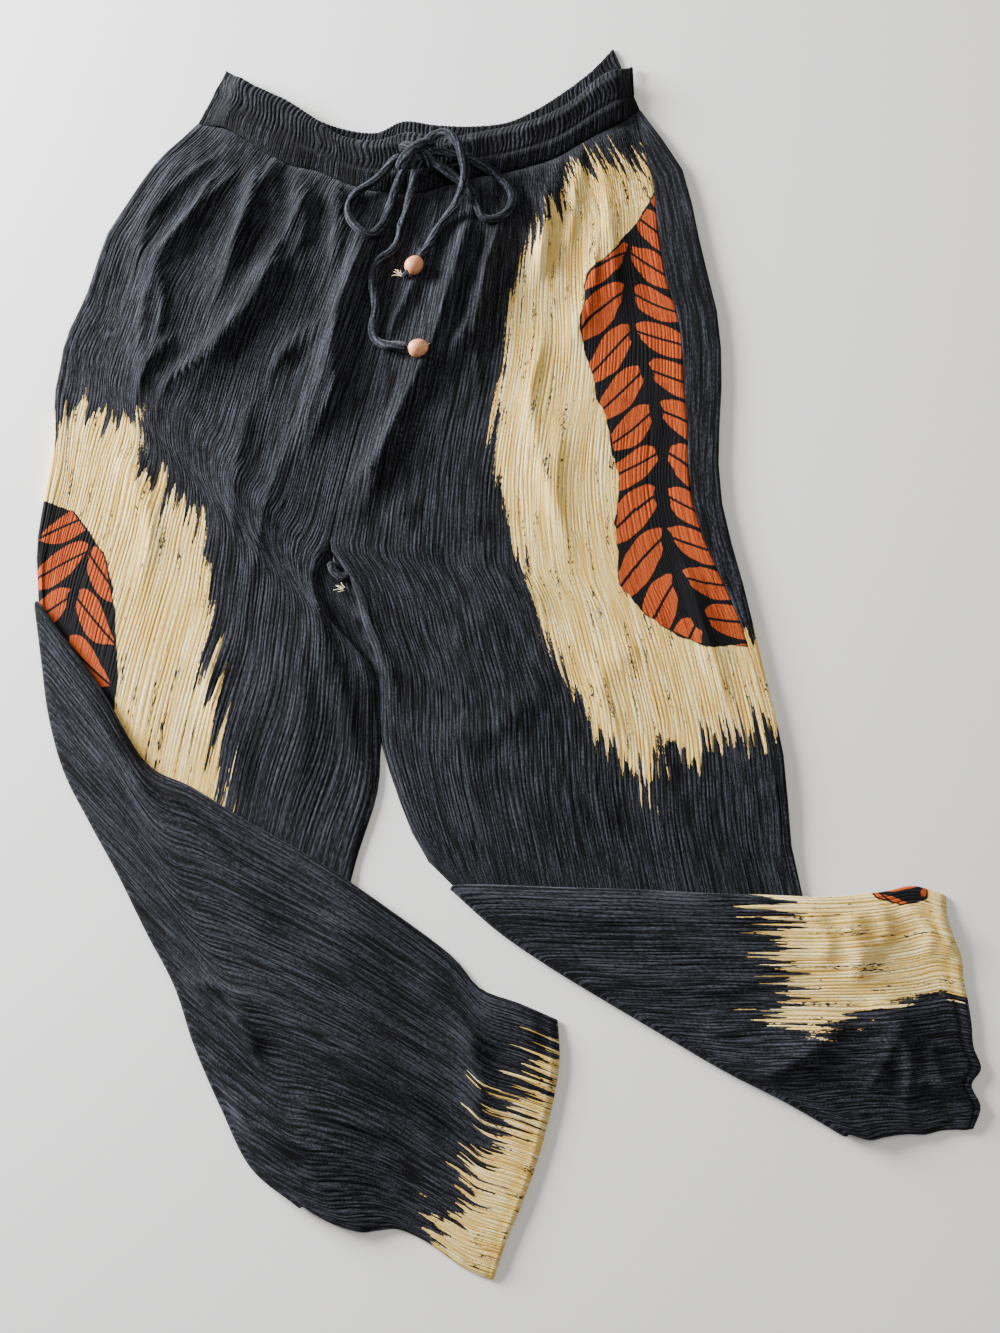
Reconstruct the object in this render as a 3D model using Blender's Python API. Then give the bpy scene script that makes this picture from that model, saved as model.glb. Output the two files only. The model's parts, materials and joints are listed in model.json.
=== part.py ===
# Harem jogger pants laid flat, front up, with each lower leg folded across its own thigh.
# Sides are the wearer's, so the right leg lies towards -X. Tables are in millimetres.
import bpy
import numpy as np

MM = 0.001
CENTRE = (-11.1, 63.59)       # plan point that becomes the origin

WALL = 1.2                  # one layer of cloth
SEAM_GAP = 0.3
BACK_Z = 0.6                # mid-height of the layer on the floor
FRONT_Z = 2.6               # mid-height of the layer above it
TURN_Z = 3.9                # height of the line that a lower leg is folded about
TUCK = 1.6                  # how far the inner layer keeps back from the crease and the edges
FLOOR_TURN_Z = 1.6          # the same, once the folded leg has come down to the floor
EASE = 85.0                 # distance past the thigh's edge over which it comes down
COVER_EASE = 60.0           # distance over which a thigh flattens towards the leg on it
EDGE_LIFT = 3.0             # rise of the rolled outer edge
EDGE_STRIP = 6.0            # least width of the back panel's wrapped strip
LEAST_SINE = 0.16           # limit on the slant between a section and the outer edge
EDGE_FLAT = 2.5             # level cloth beside the seam of the wrapped strip
THIGH_LIFT = 2.0            # loft of the thigh's cloth
LOWER_LIFT = 1.2            # loft of the folded leg's top layer
WAIST_LIFT = 6.2            # rise of the gathers where they meet the waistband
WAIST_RUN = 75.0            # length over which that rise dies out

FRONT_COLUMNS = 17
BACK_COLUMNS = 11
WRAP_ANGLES = (45.0, 90.0, 135.0)
CROTCH_ROW = 10             # section at which the legs part

RIBS = 66                   # gathers across each half of the waistband
RIB_HEIGHT = 1.3
CORD_DIAMETER = 5.8

# Cross-sections of a thigh from the waist to the crease. Columns: outer edge x and y, inner edge
# x and y, width of the back panel's strip that wraps round onto the front.
RIGHT_THIGH = (
    (-273, 504, -66, 430, 6), (-282, 493, -72, 405, 6), (-293, 481, -79, 375, 6),
    (-304, 468, -86, 345, 6), (-314, 452, -94, 312, 6), (-324, 433, -103, 274, 6),
    (-334, 413, -112, 235, 6), (-343, 396, -120, 202, 6), (-348, 378, -127, 168, 6),
    (-352, 359, -134, 133, 6), (-356, 341, -140, 100, 6), (-358, 331, -149, 84, 6),
    (-361, 322, -150, 66, 6), (-364, 310, -143, 45, 6), (-368, 297, -131, 27, 6),
    (-370, 287, -116, 14, 6), (-371, 275, -103, -3, 6), (-372, 261, -97, -26, 6),
    (-374, 242, -96, -61, 6), (-373, 219, -98, -104, 6), (-371, 185, -115, -162, 6),
    (-374, 147, -127, -231, 6), (-378, 99, -139, -317, 6), (-377, 52, -144, -404, 6),
)
LEFT_THIGH = (
    (127, 519, -66, 430, 6), (146, 488, -72, 405, 20), (165, 450, -79, 375, 32),
    (171, 408, -86, 345, 36), (179, 360, -94, 312, 38), (188, 306, -103, 274, 34),
    (188, 251, -112, 235, 33), (184, 203, -120, 202, 26), (182, 154, -127, 168, 25),
    (189, 107, -134, 133, 23), (199, 61, -140, 100, 15), (204, 33, -127, 82, 10),
    (210, -2, -117, 60, 6), (217, -37, -108, 37, 6), (222, -70, -98, 15, 6),
    (223, -94, -93, -2, 6), (224, -120, -91, -20, 6), (225, -152, -90, -43, 6),
    (231, -185, -88, -67, 6), (238, -231, -79, -99, 6), (242, -267, -70, -123, 6),
    (246, -294, -62, -141, 6), (249, -325, -52, -161, 6), (252, -356, -38, -177, 6),
)
# Where the back panels close the gap at the crotch. Columns: section, inner edge x and y.
CROTCH_BACK = ((11, -134, 82), (12, -127, 62), (13, -120, 44), (14, -114, 28))

# Cross-sections of a folded lower leg from the crease to the hem. Columns: share of the length,
# outer edge x and y, inner edge x and y.
RIGHT_LOWER = (
    (0.00, -377, 52, -144, -404), (0.08, -350, 18, -134, -410), (0.17, -320, -20, -121, -416),
    (0.30, -280, -80, -102, -421), (0.38, -242, -100, -90, -420), (0.48, -196, -127, -75, -419),
    (0.60, -138, -159, -58, -425), (0.71, -87, -192, -44, -433), (0.82, -38, -227, -30, -442),
    (0.88, -16, -251, -22, -446), (0.94, 14, -262, -14, -449), (1.00, 43, -274, -5, -452),
)
LEFT_LOWER = (
    (0.00, 252, -356, -38, -177), (0.08, 262, -359, -8, -177), (0.17, 269, -360, 27, -178),
    (0.27, 277, -358, 65, -179), (0.38, 288, -356, 108, -180), (0.50, 299, -355, 153, -182),
    (0.62, 310, -355, 198, -183), (0.74, 322, -352, 245, -184), (0.86, 333, -351, 291, -180),
    (0.93, 340, -351, 317, -175), (1.00, 346, -350, 341, -182),
)
# Shaped ends of the sections. Columns: x and y, at even shares from the outer to the inner edge.
RIGHT_WAIST = ((-273, 504), (-248, 497), (-227, 484), (-207, 469), (-185, 457), (-161, 451),
               (-139, 440), (-115, 432), (-91, 428), (-66, 430))
LEFT_WAIST = ((127, 519), (108, 503), (88, 490), (68, 477), (48, 464), (26, 456), (3, 449),
              (-20, 445), (-43, 438), (-66, 430))
RIGHT_CREASE = ((-377, 52), (-367, 5), (-357, -41), (-341, -86), (-317, -127), (-292, -167),
                (-268, -209), (-244, -249), (-226, -293), (-204, -336), (-180, -377), (-144, -404))
LEFT_CREASE = ((252, -356), (210, -332), (166, -310), (124, -286), (81, -261), (39, -236),
               (-1, -209), (-38, -177))
RIGHT_HEM = ((43, -274), (44, -301), (40, -327), (33, -353), (25, -378), (15, -403), (4, -427),
             (-5, -452))
LEFT_HEM = ((346, -350), (352, -335), (347, -320), (355, -308), (351, -293), (351, -277),
            (350, -261), (348, -244), (348, -228), (343, -213), (340, -198), (341, -182))

# Folds that stand on the thighs. Columns: start x and y, middle x and y, end x and y, half-width,
# height.
THIGH_FOLDS = (
    (-158, 447, -217, 327, -275, 209, 13, 6.0), (-143, 432, -143, 385, -148, 339, 11, 5.0),
    (-252, 470, -302, 413, -319, 339, 12, 5.0), (-231, 458, -298, 358, -308, 238, 11, 4.5),
    (-201, 458, -230, 384, -248, 306, 12, 6.0), (-117, 412, -142, 283, -176, 159, 14, 6.5),
    (-189, 269, -167, 285, -144, 300, 10, 3.0), (-308, 265, -293, 276, -279, 287, 9, 2.5),
    (-210, 229, -219, 158, -218, 87, 13, 3.0), (-160, 19, -153, -45, -155, -110, 14, 3.0),
    (-139, 100, -145, 22, -108, -78, 8, 3.5), (-134, 96, -101, 26, -77, -46, 9, 3.5),
    (-25, 412, -54, 318, -85, 225, 14, 6.5), (4, 426, -17, 331, -55, 240, 12, 5.5),
    (42, 447, 39, 385, 26, 323, 12, 4.5), (89, 473, 97, 384, 101, 295, 14, 4.0),
    (-90, 139, -69, 109, -41, 87, 11, 4.0), (-40, 28, -9, 4, 24, -17, 13, 3.5),
    (-24, 100, 9, 68, 48, 44, 13, 3.5), (-75, 214, -100, 164, -123, 113, 13, 5.0),
    (50, 211, 46, 144, 61, 78, 15, 3.0), (16, -54, 46, -101, 77, -135, 14, 2.5),
    (150, 87, 166, 20, 185, -46, 12, 3.0),
)
# The same for the folded lower legs.
LOWER_FOLDS = (
    (-207, -252, -134, -294, -58, -330, 14, 4.5), (-294, -82, -222, -154, -151, -208, 15, 4.0),
    (-197, -323, -125, -357, -50, -385, 12, 3.5), (-129, -196, -81, -232, -33, -276, 12, 3.5),
    (-19, -280, -15, -318, -17, -355, 12, 3.5), (105, -208, 171, -228, 239, -241, 15, 3.5),
    (148, -274, 205, -296, 265, -302, 14, 3.5), (300, -266, 284, -299, 264, -330, 11, 4.5),
    (265, -195, 273, -215, 285, -232, 9, 3.5), (317, -288, 321, -313, 327, -330, 10, 4.0),
)

# Waistband edges from the right to the left side. Columns: x and y, at even shares.
FRONT_LIP = ((-249, 554), (-223, 538), (-194, 527), (-168, 508), (-143, 489), (-112, 483),
             (-82, 492), (-51, 486), (-20, 492), (11, 499), (41, 510), (67, 527), (92, 548),
             (120, 560))
BACK_LIP = ((-250, 557), (-223, 541), (-196, 530), (-170, 513), (-141, 501), (-111, 497),
            (-87, 509), (-56, 505), (-25, 504), (6, 508), (32, 521), (58, 538), (83, 557),
            (105, 579))
# Height of the front half's cloth. Columns: share from the lip to the lower seam, height.
FRONT_BAND_HEIGHTS = ((0.0, 9.5), (0.25, 14.5), (0.5, 12.0), (0.75, 13.0), (1.0, 8.5))
BAND_END_RUN = 22.0         # length over which the front half comes down at each side

# Drawstring routes: points x, y, z of each free length, from the knot outwards.
CORD_LOOP_RIGHT = (
    (-86.1, 456.9, 23.2), (-92, 454, 22.0), (-100, 446, 19.5), (-111, 436, 16.5), (-125, 426, 15.2),
    (-132, 412, 16.0), (-130, 399, 15.2), (-121, 388, 16.2), (-111, 385, 14.6), (-103, 395, 13.0),
    (-98, 408, 13.2), (-94, 421, 13.8), (-90, 433, 16.5), (-85, 443, 20.5), (-80.6, 449.2, 22.2),
)
CORD_LOOP_LEFT = (
    (-60.3, 461.1, 22.8), (-50, 462, 21.0), (-38, 460, 19.2), (-26, 458, 18.2), (-13, 451, 16.5),
    (-2, 443, 14.2), (7, 433, 14.2), (11, 421, 14.2), (7, 409, 14.2), (-3, 401, 14.3),
    (-14, 401, 14.6), (-20, 411, 14.6), (-24, 425, 14.4), (-34, 437, 15.5), (-46, 444, 19.0),
    (-54, 448, 22.0), (-62.6, 453.4, 23.4),
)
CORD_TAIL_RIGHT = (
    (-73.7, 448.1, 22.4), (-74.5, 439, 20.5), (-77, 430, 16.8), (-80, 418, 13.6), (-82, 406, 12.8),
    (-86, 394, 12.0), (-88, 382, 11.0), (-94, 371, 10.3), (-103, 364, 10.4), (-109, 353, 10.7),
    (-110, 340, 10.5), (-108, 326, 9.9), (-107, 311, 9.4), (-109, 297, 9.4), (-106, 285, 10.4),
    (-97, 279, 13.2), (-87, 277.5, 15.0), (-77.4, 275.5, 16.0),
)
CORD_TAIL_LEFT = (
    (-64.8, 470.2, 24.7), (-61, 475, 24.5), (-53, 479, 25.0), (-45, 477, 26.2), (-38, 469, 27.0),
    (-34, 457, 26.8), (-31, 444, 25.0), (-32, 430, 22.0), (-37, 415, 19.0), (-46, 402, 14.6),
    (-54, 391, 12.8), (-60, 380, 12.2), (-64.5, 371, 12.9), (-69.9, 362.4, 13.5),
)
# Beads. Columns: centre x, y and z, length, diameter, turn of its long axis from +X in degrees.
BEAD_RIGHT = (-69, 274, 17.0, 17.0, 14.5, -35.0)
BEAD_LEFT = (-74, 355, 14.0, 17.0, 15.0, 48.0)
KNOT = (-73, 460, 25.0, 26.0, 23.0, 16.0)      # centre x, y and z, width, depth, height

BLACK_CREPE = (0.024, 0.026, 0.033)
BEAD_WOOD = (0.72, 0.36, 0.19)


def ease(x):
    x = np.clip(x, 0.0, 1.0)
    return x * x * (3.0 - 2.0 * x)


def along(points, shares):
    """Plan points at shares of a table whose rows are evenly spaced."""
    table = np.array(points, float)
    grid = np.linspace(0.0, 1.0, len(table))
    return np.stack([np.interp(shares, grid, table[:, k]) for k in (0, 1)], axis=-1)


def fold_height(folds, x, y):
    """Sum of soft ridges: a Gaussian across each fold's curve, tapered at both of its ends."""
    total = np.zeros_like(x)
    s = np.linspace(0.0, 1.0, 25)
    for x0, y0, x1, y1, x2, y2, half_width, height in folds:
        cx, cy = 2 * x1 - 0.5 * (x0 + x2), 2 * y1 - 0.5 * (y0 + y2)
        px = (1 - s) ** 2 * x0 + 2 * s * (1 - s) * cx + s ** 2 * x2
        py = (1 - s) ** 2 * y0 + 2 * s * (1 - s) * cy + s ** 2 * y2
        distance = np.hypot(x[..., None] - px, y[..., None] - py)
        nearest = distance.argmin(axis=-1)
        share = s[nearest]
        taper = ease(share / 0.15 + 0.45) * ease((1.0 - share) / 0.45)
        total += height * taper * np.exp(-(distance.min(axis=-1) / half_width) ** 2)
    return total


class Leg:
    """Plan, heights and fold of one leg. u runs from the outer edge to the inner edge."""

    def __init__(self, thigh, lower, waist, crease, hem, cover_edge):
        self.thigh = np.array(thigh, float)
        self.lower = np.array(lower, float)
        self.back_inner = self.thigh[:, 2:4].copy()
        self.waist, self.crease, self.hem = waist, crease, hem
        chord = np.array(crease[-1], float) - np.array(crease[0], float)
        normal = np.array([chord[1], -chord[0]]) / np.hypot(*chord)
        centre = self.thigh[:, :4].reshape(-1, 2, 2).mean(axis=(0, 1))
        if (centre - np.array(crease[0])) @ normal > 0:
            normal = -normal
        self.outward = normal
        edge = self.lower[:, cover_edge:cover_edge + 2]
        self.cover = edge[np.argsort(edge[:, 0])]
        self.inseam = self.thigh[CROTCH_ROW + 4:, 2:4]

    def crease_at(self, u, back):
        inset = TURN_Z - BACK_Z + (0.0 if back else TUCK) * ease((np.asarray(u) - 0.12) / 0.15)
        return along(self.crease, u) - self.outward * inset[:, None]

    def thigh_plan(self, row, u, back):
        """Straight section between the edges, bent to the waist's and the crease's own lines."""
        outer = self.thigh[row, 0:2]
        inner = self.back_inner[row] if back else self.thigh[row, 2:4]
        t = row / (len(self.thigh) - 1.0)
        u = np.asarray(u)[:, None]
        plan = outer + (inner - outer) * u
        w0, w1 = np.array(self.waist[0], float), np.array(self.waist[-1], float)
        plan += (1.0 - ease(t * 3.0)) * (along(self.waist, u[:, 0]) - w0 - (w1 - w0) * u)
        c0, c1 = np.array(self.crease[0], float), np.array(self.crease[-1], float)
        return plan + ease(t * 3.0 - 2.0) * (self.crease_at(u[:, 0], back) - c0 - (c1 - c0) * u)

    def lower_plan(self, share, u, back):
        """The same for the folded leg, bent to the crease's and the hem's lines."""
        edges = np.array([np.interp(share, self.lower[:, 0], self.lower[:, k])
                          for k in range(1, 5)])
        u = np.asarray(u)[:, None]
        plan = edges[:2] + (edges[2:] - edges[:2]) * u
        c0, c1 = np.array(self.crease[0], float), np.array(self.crease[-1], float)
        h0, h1 = np.array(self.hem[0], float), np.array(self.hem[-1], float)
        plan += (1.0 - share) * (self.crease_at(u[:, 0], back) - c0 - (c1 - c0) * u)
        return plan + share * (along(self.hem, u[:, 0]) - h0 - (h1 - h0) * u)

    def uncovered(self, x, y):
        """1 on the open thigh, 0 under the folded leg."""
        return ease((y - np.interp(x, self.cover[:, 0], self.cover[:, 1]) - 4.0) / COVER_EASE)

    def turn_height(self, x, y):
        """Height of the folding line: high over the thigh, low past the thigh's own edge."""
        return FLOOR_TURN_Z + (TURN_Z - FLOOR_TURN_Z) * ease(1.0 + self.inside(x, y) / EASE)


class RightLeg(Leg):
    def inside(self, x, y):
        """How far a point lies on the thigh's side of its inseam."""
        edge = np.interp(y, self.inseam[::-1, 1], self.inseam[::-1, 0])
        return edge - x


class LeftLeg(Leg):
    def inside(self, x, y):
        """How far a point lies on the thigh's side of its outer edge."""
        edge = self.thigh[:, 0:2][::-1]
        return np.interp(y, edge[:, 1], edge[:, 0]) - x


def waist_height(x):
    """Height of the cloth along the lower seam of the waistband, low at both sides."""
    ends = np.minimum(x - RIGHT_WAIST[0][0], LEFT_WAIST[0][0] - x)
    return EDGE_LIFT * 0.6 + (WAIST_LIFT - EDGE_LIFT * 0.6) * ease(ends / 45.0)


def waist_line_y(x):
    line = np.array(RIGHT_WAIST + LEFT_WAIST[-2::-1], float)
    return np.interp(x, line[:, 0], line[:, 1])


def edge_lift(leg, row):
    """Rise of the rolled outer edge at a section."""
    x, y = leg.thigh[row, 0:1], leg.thigh[row, 1:2]
    t = ease(row / 3.0)
    return float((EDGE_LIFT * (0.6 + 0.4 * t) * leg.uncovered(x, y))[0])


def thigh_height(leg, row, plan, u, length, level_to):
    """Height of the front cloth over its flat level."""
    x, y = plan[:, 0], plan[:, 1]
    below_waist = waist_line_y(x) - y
    open_part = leg.uncovered(x, y)
    lift = (THIGH_LIFT + fold_height(THIGH_FOLDS, x, y) * ease(below_waist / 12.0)) * open_part
    near_waist = 1.0 - ease(below_waist / WAIST_RUN)
    lift = lift + (waist_height(x) - THIGH_LIFT * 0.5) * near_waist * open_part
    lift = np.where(below_waist < 0.5, waist_height(x), lift)
    from_outer = ease((u * length - level_to) / 16.0)
    rolled = edge_lift(leg, row)
    lift = rolled + (lift - rolled) * from_outer
    past_crotch = ease((row - CROTCH_ROW - 3.0) / 3.0)
    to_inner = ease(((1.0 - u) * length + 2.0) / 16.0)
    return lift * (1.0 - past_crotch * (1.0 - to_inner))


def lower_height(leg, share, plan, u, length):
    """Height of the folded leg's top cloth over its flat level."""
    x, y = plan[:, 0], plan[:, 1]
    lift = LOWER_LIFT + fold_height(LOWER_FOLDS, x, y)
    edges = ease(u * length / 16.0) * ease((1.0 - u) * length / 16.0)
    return lift * edges * ease(share / 0.12)


def folded(leg, kind, value, plan, level):
    """Places one section: as it lies on the thigh, round the crease or over on the folded leg."""
    if kind == "thigh":
        return np.column_stack([plan, level])
    if kind == "turn":
        radius = TURN_Z - level
        angle = np.radians(value)
        plan = plan + leg.outward * (radius * np.sin(angle))[:, None]
        return np.column_stack([plan, TURN_Z - radius * np.cos(angle)])
    turn = leg.turn_height(plan[:, 0], plan[:, 1])
    return np.column_stack([plan, 2.0 * turn - level])


def sections(leg, shares):
    """Every section of a panel: its kind and its row, angle or share."""
    rows = [("thigh", k) for k in range(len(leg.thigh))]
    return rows + [("turn", a) for a in WRAP_ANGLES] + [("lower", s) for s in shares]


def section_size(leg, kind, value, back):
    """Length of a section, its slant to the outer edge and the width of its strip."""
    last = len(leg.thigh) - 1
    row = last if kind == "turn" else value
    if kind == "lower" or row == last:
        ends = leg.thigh_plan(last, (0.0, 1.0), back)
        value = value if kind == "lower" else 0.0
        if kind == "lower":
            ends = leg.lower_plan(value, (0.0, 1.0), back)
        reach = (max(value - 0.04, 0.0), min(value + 0.04, 1.0))
        edge = [leg.lower_plan(share, (0.0,), True)[0] for share in reach]
    else:
        ends = leg.thigh_plan(row, (0.0, 1.0), back)
        edge = [leg.thigh[max(row - 1, 0), 0:2], leg.thigh[min(row + 1, last), 0:2]]
    across, tangent = ends[1] - ends[0], edge[1] - edge[0]
    length = float(np.hypot(*across))
    sine = abs(float(np.cross(across, tangent))) / (length * float(np.hypot(*tangent)))
    slant = 1.0 / max(sine, LEAST_SINE)
    strip = EDGE_STRIP * slant
    if kind == "thigh" and row < last:
        strip = max(strip, float(leg.thigh[row, 4]))
    return length, slant, strip


def front_panel(leg, shares):
    """Mid-surface of a front panel from the strip's seam to the centre seam or inseam."""
    grid = []
    last = len(leg.thigh) - 1
    for kind, value in sections(leg, shares):
        length, slant, strip = section_size(leg, kind, value, False)
        row = value if kind == "thigh" else last
        inner_inset = SEAM_GAP / 2 if kind == "thigh" else TUCK
        edge = strip + (SEAM_GAP if kind == "thigh" and row < last else 2.0 * SEAM_GAP) * slant
        level_to = edge + EDGE_FLAT * slant
        u = np.concatenate([[edge], np.linspace(level_to, length - inner_inset,
                                                FRONT_COLUMNS)]) / length
        if kind == "lower":
            plan = leg.lower_plan(min(value, 0.993), u, False)
            level = np.full(len(u), FRONT_Z)
        else:
            plan = leg.thigh_plan(row, u, False)
            level = FRONT_Z + thigh_height(leg, row, plan, u, length, level_to)
        grid.append(folded(leg, kind, value, plan, level))
    return np.array(grid)


def back_panel(leg, shares):
    """Mid-surface of a back panel: the strip on the front, the rolled edge and the flat back."""
    grid = []
    last = len(leg.thigh) - 1
    for kind, value in sections(leg, shares):
        length, slant, strip = section_size(leg, kind, value, True)
        row = value if kind == "thigh" else last
        top = FRONT_Z + (0.0 if kind == "lower" else edge_lift(leg, row))
        radius = (top - BACK_Z) / 2.0
        turns = np.radians(np.array([0.0, 45.0, 90.0, 135.0, 180.0]))
        inward = [strip, (strip + radius * slant) / 2.0]
        inward += list(radius * slant * (1.0 - np.sin(turns)))
        level = [top, top] + list((top + BACK_Z) / 2.0 + radius * np.cos(turns))
        flat = np.linspace(radius * slant / length, 1.0 - SEAM_GAP / 2 / length, BACK_COLUMNS + 1)[1:]
        u = np.concatenate([np.array(inward) / length, flat])
        level = np.array(level + [BACK_Z] * BACK_COLUMNS)
        if kind == "lower":
            plan = leg.lower_plan(value, u, True)
            skin = np.arange(len(u)) >= 6
            level = level - np.where(skin, lower_height(leg, value, plan, u, length), 0.0)
        else:
            plan = leg.thigh_plan(row, u, True)
        grid.append(folded(leg, kind, value, plan, level))
    return np.array(grid)


def band_plan(lip, foot, shares, depth):
    """Points between a waistband's lip and its lower seam at one depth."""
    return along(lip, shares) * (1.0 - depth) + foot * depth


def foot_line(right_row, left_row, shares):
    """Lower edge of a waistband half, just clear of the leg panels' own top edges."""
    line = np.concatenate([right_row, left_row[::-1]])
    line = line[np.argsort(line[:, 0])]
    x = line[0, 0] + (line[-1, 0] - line[0, 0]) * shares
    return np.column_stack([x, np.interp(x, line[:, 0], line[:, 1]) + WALL / 2 + SEAM_GAP])


def ribs(count):
    """Gathers: every other column of the band stands higher."""
    return RIB_HEIGHT * (np.arange(count) % 2)


def front_band(right_row, left_row):
    shares = np.linspace(0.0, 1.0, 2 * RIBS + 1)
    foot = foot_line(right_row, left_row, shares)
    grid = []
    for depth, height in FRONT_BAND_HEIGHTS:
        plan = band_plan(FRONT_LIP, foot, shares, depth)
        run = np.hypot(*np.gradient(plan, axis=0).T).cumsum()
        ends = ease(np.minimum(run, run[-1] - run) / BAND_END_RUN)
        low = BACK_Z + 3.4
        z = low + (height - low) * ends + ribs(len(shares)) * (0.35 if depth == 1.0 else 1.0)
        grid.append(np.column_stack([plan, z]))
    return np.array(grid)


def back_band(right_row, left_row):
    shares = np.linspace(0.0, 1.0, 2 * RIBS + 1)
    foot = foot_line(right_row, left_row, shares)
    grid = []
    for depth in (0.0, 0.5, 1.0):
        plan = band_plan(BACK_LIP, foot, shares, depth)
        grid.append(np.column_stack([plan, BACK_Z + ribs(len(shares))]))
    return np.array(grid)


def panel_object(name, grid, wall, slot):
    """A closed wall of one thickness about a grid of mid-points, in millimetres."""
    rows, columns = grid.shape[:2]
    normal = np.cross(np.gradient(grid, axis=1), np.gradient(grid, axis=0))
    normal /= np.linalg.norm(normal, axis=-1, keepdims=True)
    points = np.concatenate([(grid + normal * wall / 2).reshape(-1, 3),
                             (grid - normal * wall / 2).reshape(-1, 3)])
    half = rows * columns
    faces = []
    for r in range(rows - 1):
        for c in range(columns - 1):
            a = r * columns + c
            quad = (a, a + 1, a + columns + 1, a + columns)
            faces.append(quad)
            faces.append(tuple(half + k for k in reversed(quad)))
    border = [c for c in range(columns)]
    border += [r * columns + columns - 1 for r in range(1, rows)]
    border += [(rows - 1) * columns + c for c in range(columns - 2, -1, -1)]
    border += [r * columns for r in range(rows - 2, 0, -1)]
    for a, b in zip(border, border[1:] + border[:1]):
        faces.append((b, a, half + a, half + b))
    points[:, :2] -= CENTRE
    return mesh_object(name, points * MM, faces, slot)


def mesh_object(name, points, faces, slot):
    """Adds a mesh and turns its faces outwards, as told by the sign of its volume."""
    volume = 0.0
    for face in faces:
        for k in range(1, len(face) - 1):
            a, b, c = points[face[0]], points[face[k]], points[face[k + 1]]
            volume += float(np.dot(a, np.cross(b, c)))
    if volume < 0:
        faces = [tuple(reversed(face)) for face in faces]
    mesh = bpy.data.meshes.new(name)
    mesh.from_pydata([tuple(p) for p in points], [], faces)
    mesh.update()
    shape = bpy.data.objects.new(name, mesh)
    collection.objects.link(shape)
    mesh.materials.append(material(name + "_" + slot, slot))
    return shape


def material(name, slot):
    """Principled material of one sub-part."""
    shade = bpy.data.materials.new(name)
    shade.use_nodes = True
    principled = shade.node_tree.nodes["Principled BSDF"]
    wood = slot == "wooden_bead"
    principled.inputs["Base Color"].default_value = (*(BEAD_WOOD if wood else BLACK_CREPE), 1.0)
    principled.inputs["Roughness"].default_value = 0.45 if wood else 0.85
    return shade


def smooth_route(points, spacing):
    """Evenly spaced points of the smooth curve through a route's own points."""
    p = np.array(points, float)
    p = np.vstack([2 * p[0] - p[1], p, 2 * p[-1] - p[-2]])
    curve = []
    for k in range(1, len(p) - 2):
        for s in np.linspace(0.0, 1.0, 12, endpoint=False):
            a, b, c, d = p[k - 1], p[k], p[k + 1], p[k + 2]
            curve.append(0.5 * (2 * b + (c - a) * s + (2 * a - 5 * b + 4 * c - d) * s ** 2
                                + (3 * b - a - 3 * c + d) * s ** 3))
    curve.append(p[-2])
    curve = np.array(curve)
    run = np.concatenate([[0.0], np.linalg.norm(np.diff(curve, axis=0), axis=1).cumsum()])
    even = np.linspace(0.0, run[-1], max(4, int(round(run[-1] / spacing)) + 1))
    return np.column_stack([np.interp(even, run, curve[:, k]) for k in range(3)])


def cord_object(name, route):
    """Round cord along a route, its ends closed."""
    points = smooth_route(route, 2.2 * CORD_DIAMETER)
    points[:, :2] -= CENTRE
    curve = bpy.data.curves.new(name, "CURVE")
    curve.dimensions = "3D"
    curve.bevel_depth = CORD_DIAMETER / 2 * MM
    curve.bevel_resolution = 2
    curve.use_fill_caps = True
    spline = curve.splines.new("POLY")
    spline.points.add(len(points) - 1)
    for slot, p in zip(spline.points, points * MM):
        slot.co = (*p, 1.0)
    shape = bpy.data.objects.new(name, curve)
    collection.objects.link(shape)
    curve.materials.append(material(name + "_crepe_cord", "crepe_cord"))
    return shape


def rounded_object(name, centre, radii, turn, slot, around, rings, wrap_depth=0.0, taper=0.0):
    """Egg or knot: rings about the long axis, narrower towards one end, with raised wraps."""
    theta = np.linspace(0.0, np.pi, rings + 1)[1:-1]
    phi = np.arange(around) * 2.0 * np.pi / around
    points = [(-radii[0], 0.0, 0.0)]
    for t in theta:
        bulge = 1.0 + taper * np.cos(t) + wrap_depth * np.cos(6.0 * t)
        r = np.sin(t) * bulge
        points += [(-radii[0] * np.cos(t), radii[1] * r * np.cos(f), radii[2] * r * np.sin(f))
                   for f in phi]
    points.append((radii[0], 0.0, 0.0))
    faces = [(0, 1 + (k + 1) % around, 1 + k) for k in range(around)]
    for j in range(len(theta) - 1):
        a, b = 1 + j * around, 1 + (j + 1) * around
        faces += [(a + k, a + (k + 1) % around, b + (k + 1) % around, b + k)
                  for k in range(around)]
    end, a = len(points) - 1, 1 + (len(theta) - 1) * around
    faces += [(a + k, a + (k + 1) % around, end) for k in range(around)]
    angle = np.radians(turn)
    p = np.array(points)
    x = p[:, 0] * np.cos(angle) - p[:, 1] * np.sin(angle) + centre[0] - CENTRE[0]
    y = p[:, 0] * np.sin(angle) + p[:, 1] * np.cos(angle) + centre[1] - CENTRE[1]
    return mesh_object(name, np.column_stack([x, y, p[:, 2] + centre[2]]) * MM, faces, slot)


for old in list(bpy.data.objects):
    bpy.data.objects.remove(old)
collection = bpy.data.collections.new("harem_jogger_pants")
bpy.context.scene.collection.children.link(collection)

right = RightLeg(RIGHT_THIGH, RIGHT_LOWER, RIGHT_WAIST, RIGHT_CREASE, RIGHT_HEM, 1)
left = LeftLeg(LEFT_THIGH, LEFT_LOWER, LEFT_WAIST, LEFT_CREASE, LEFT_HEM, 3)
for row, x, y in CROTCH_BACK:
    right.back_inner[row] = left.back_inner[row] = (x, y)

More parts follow.
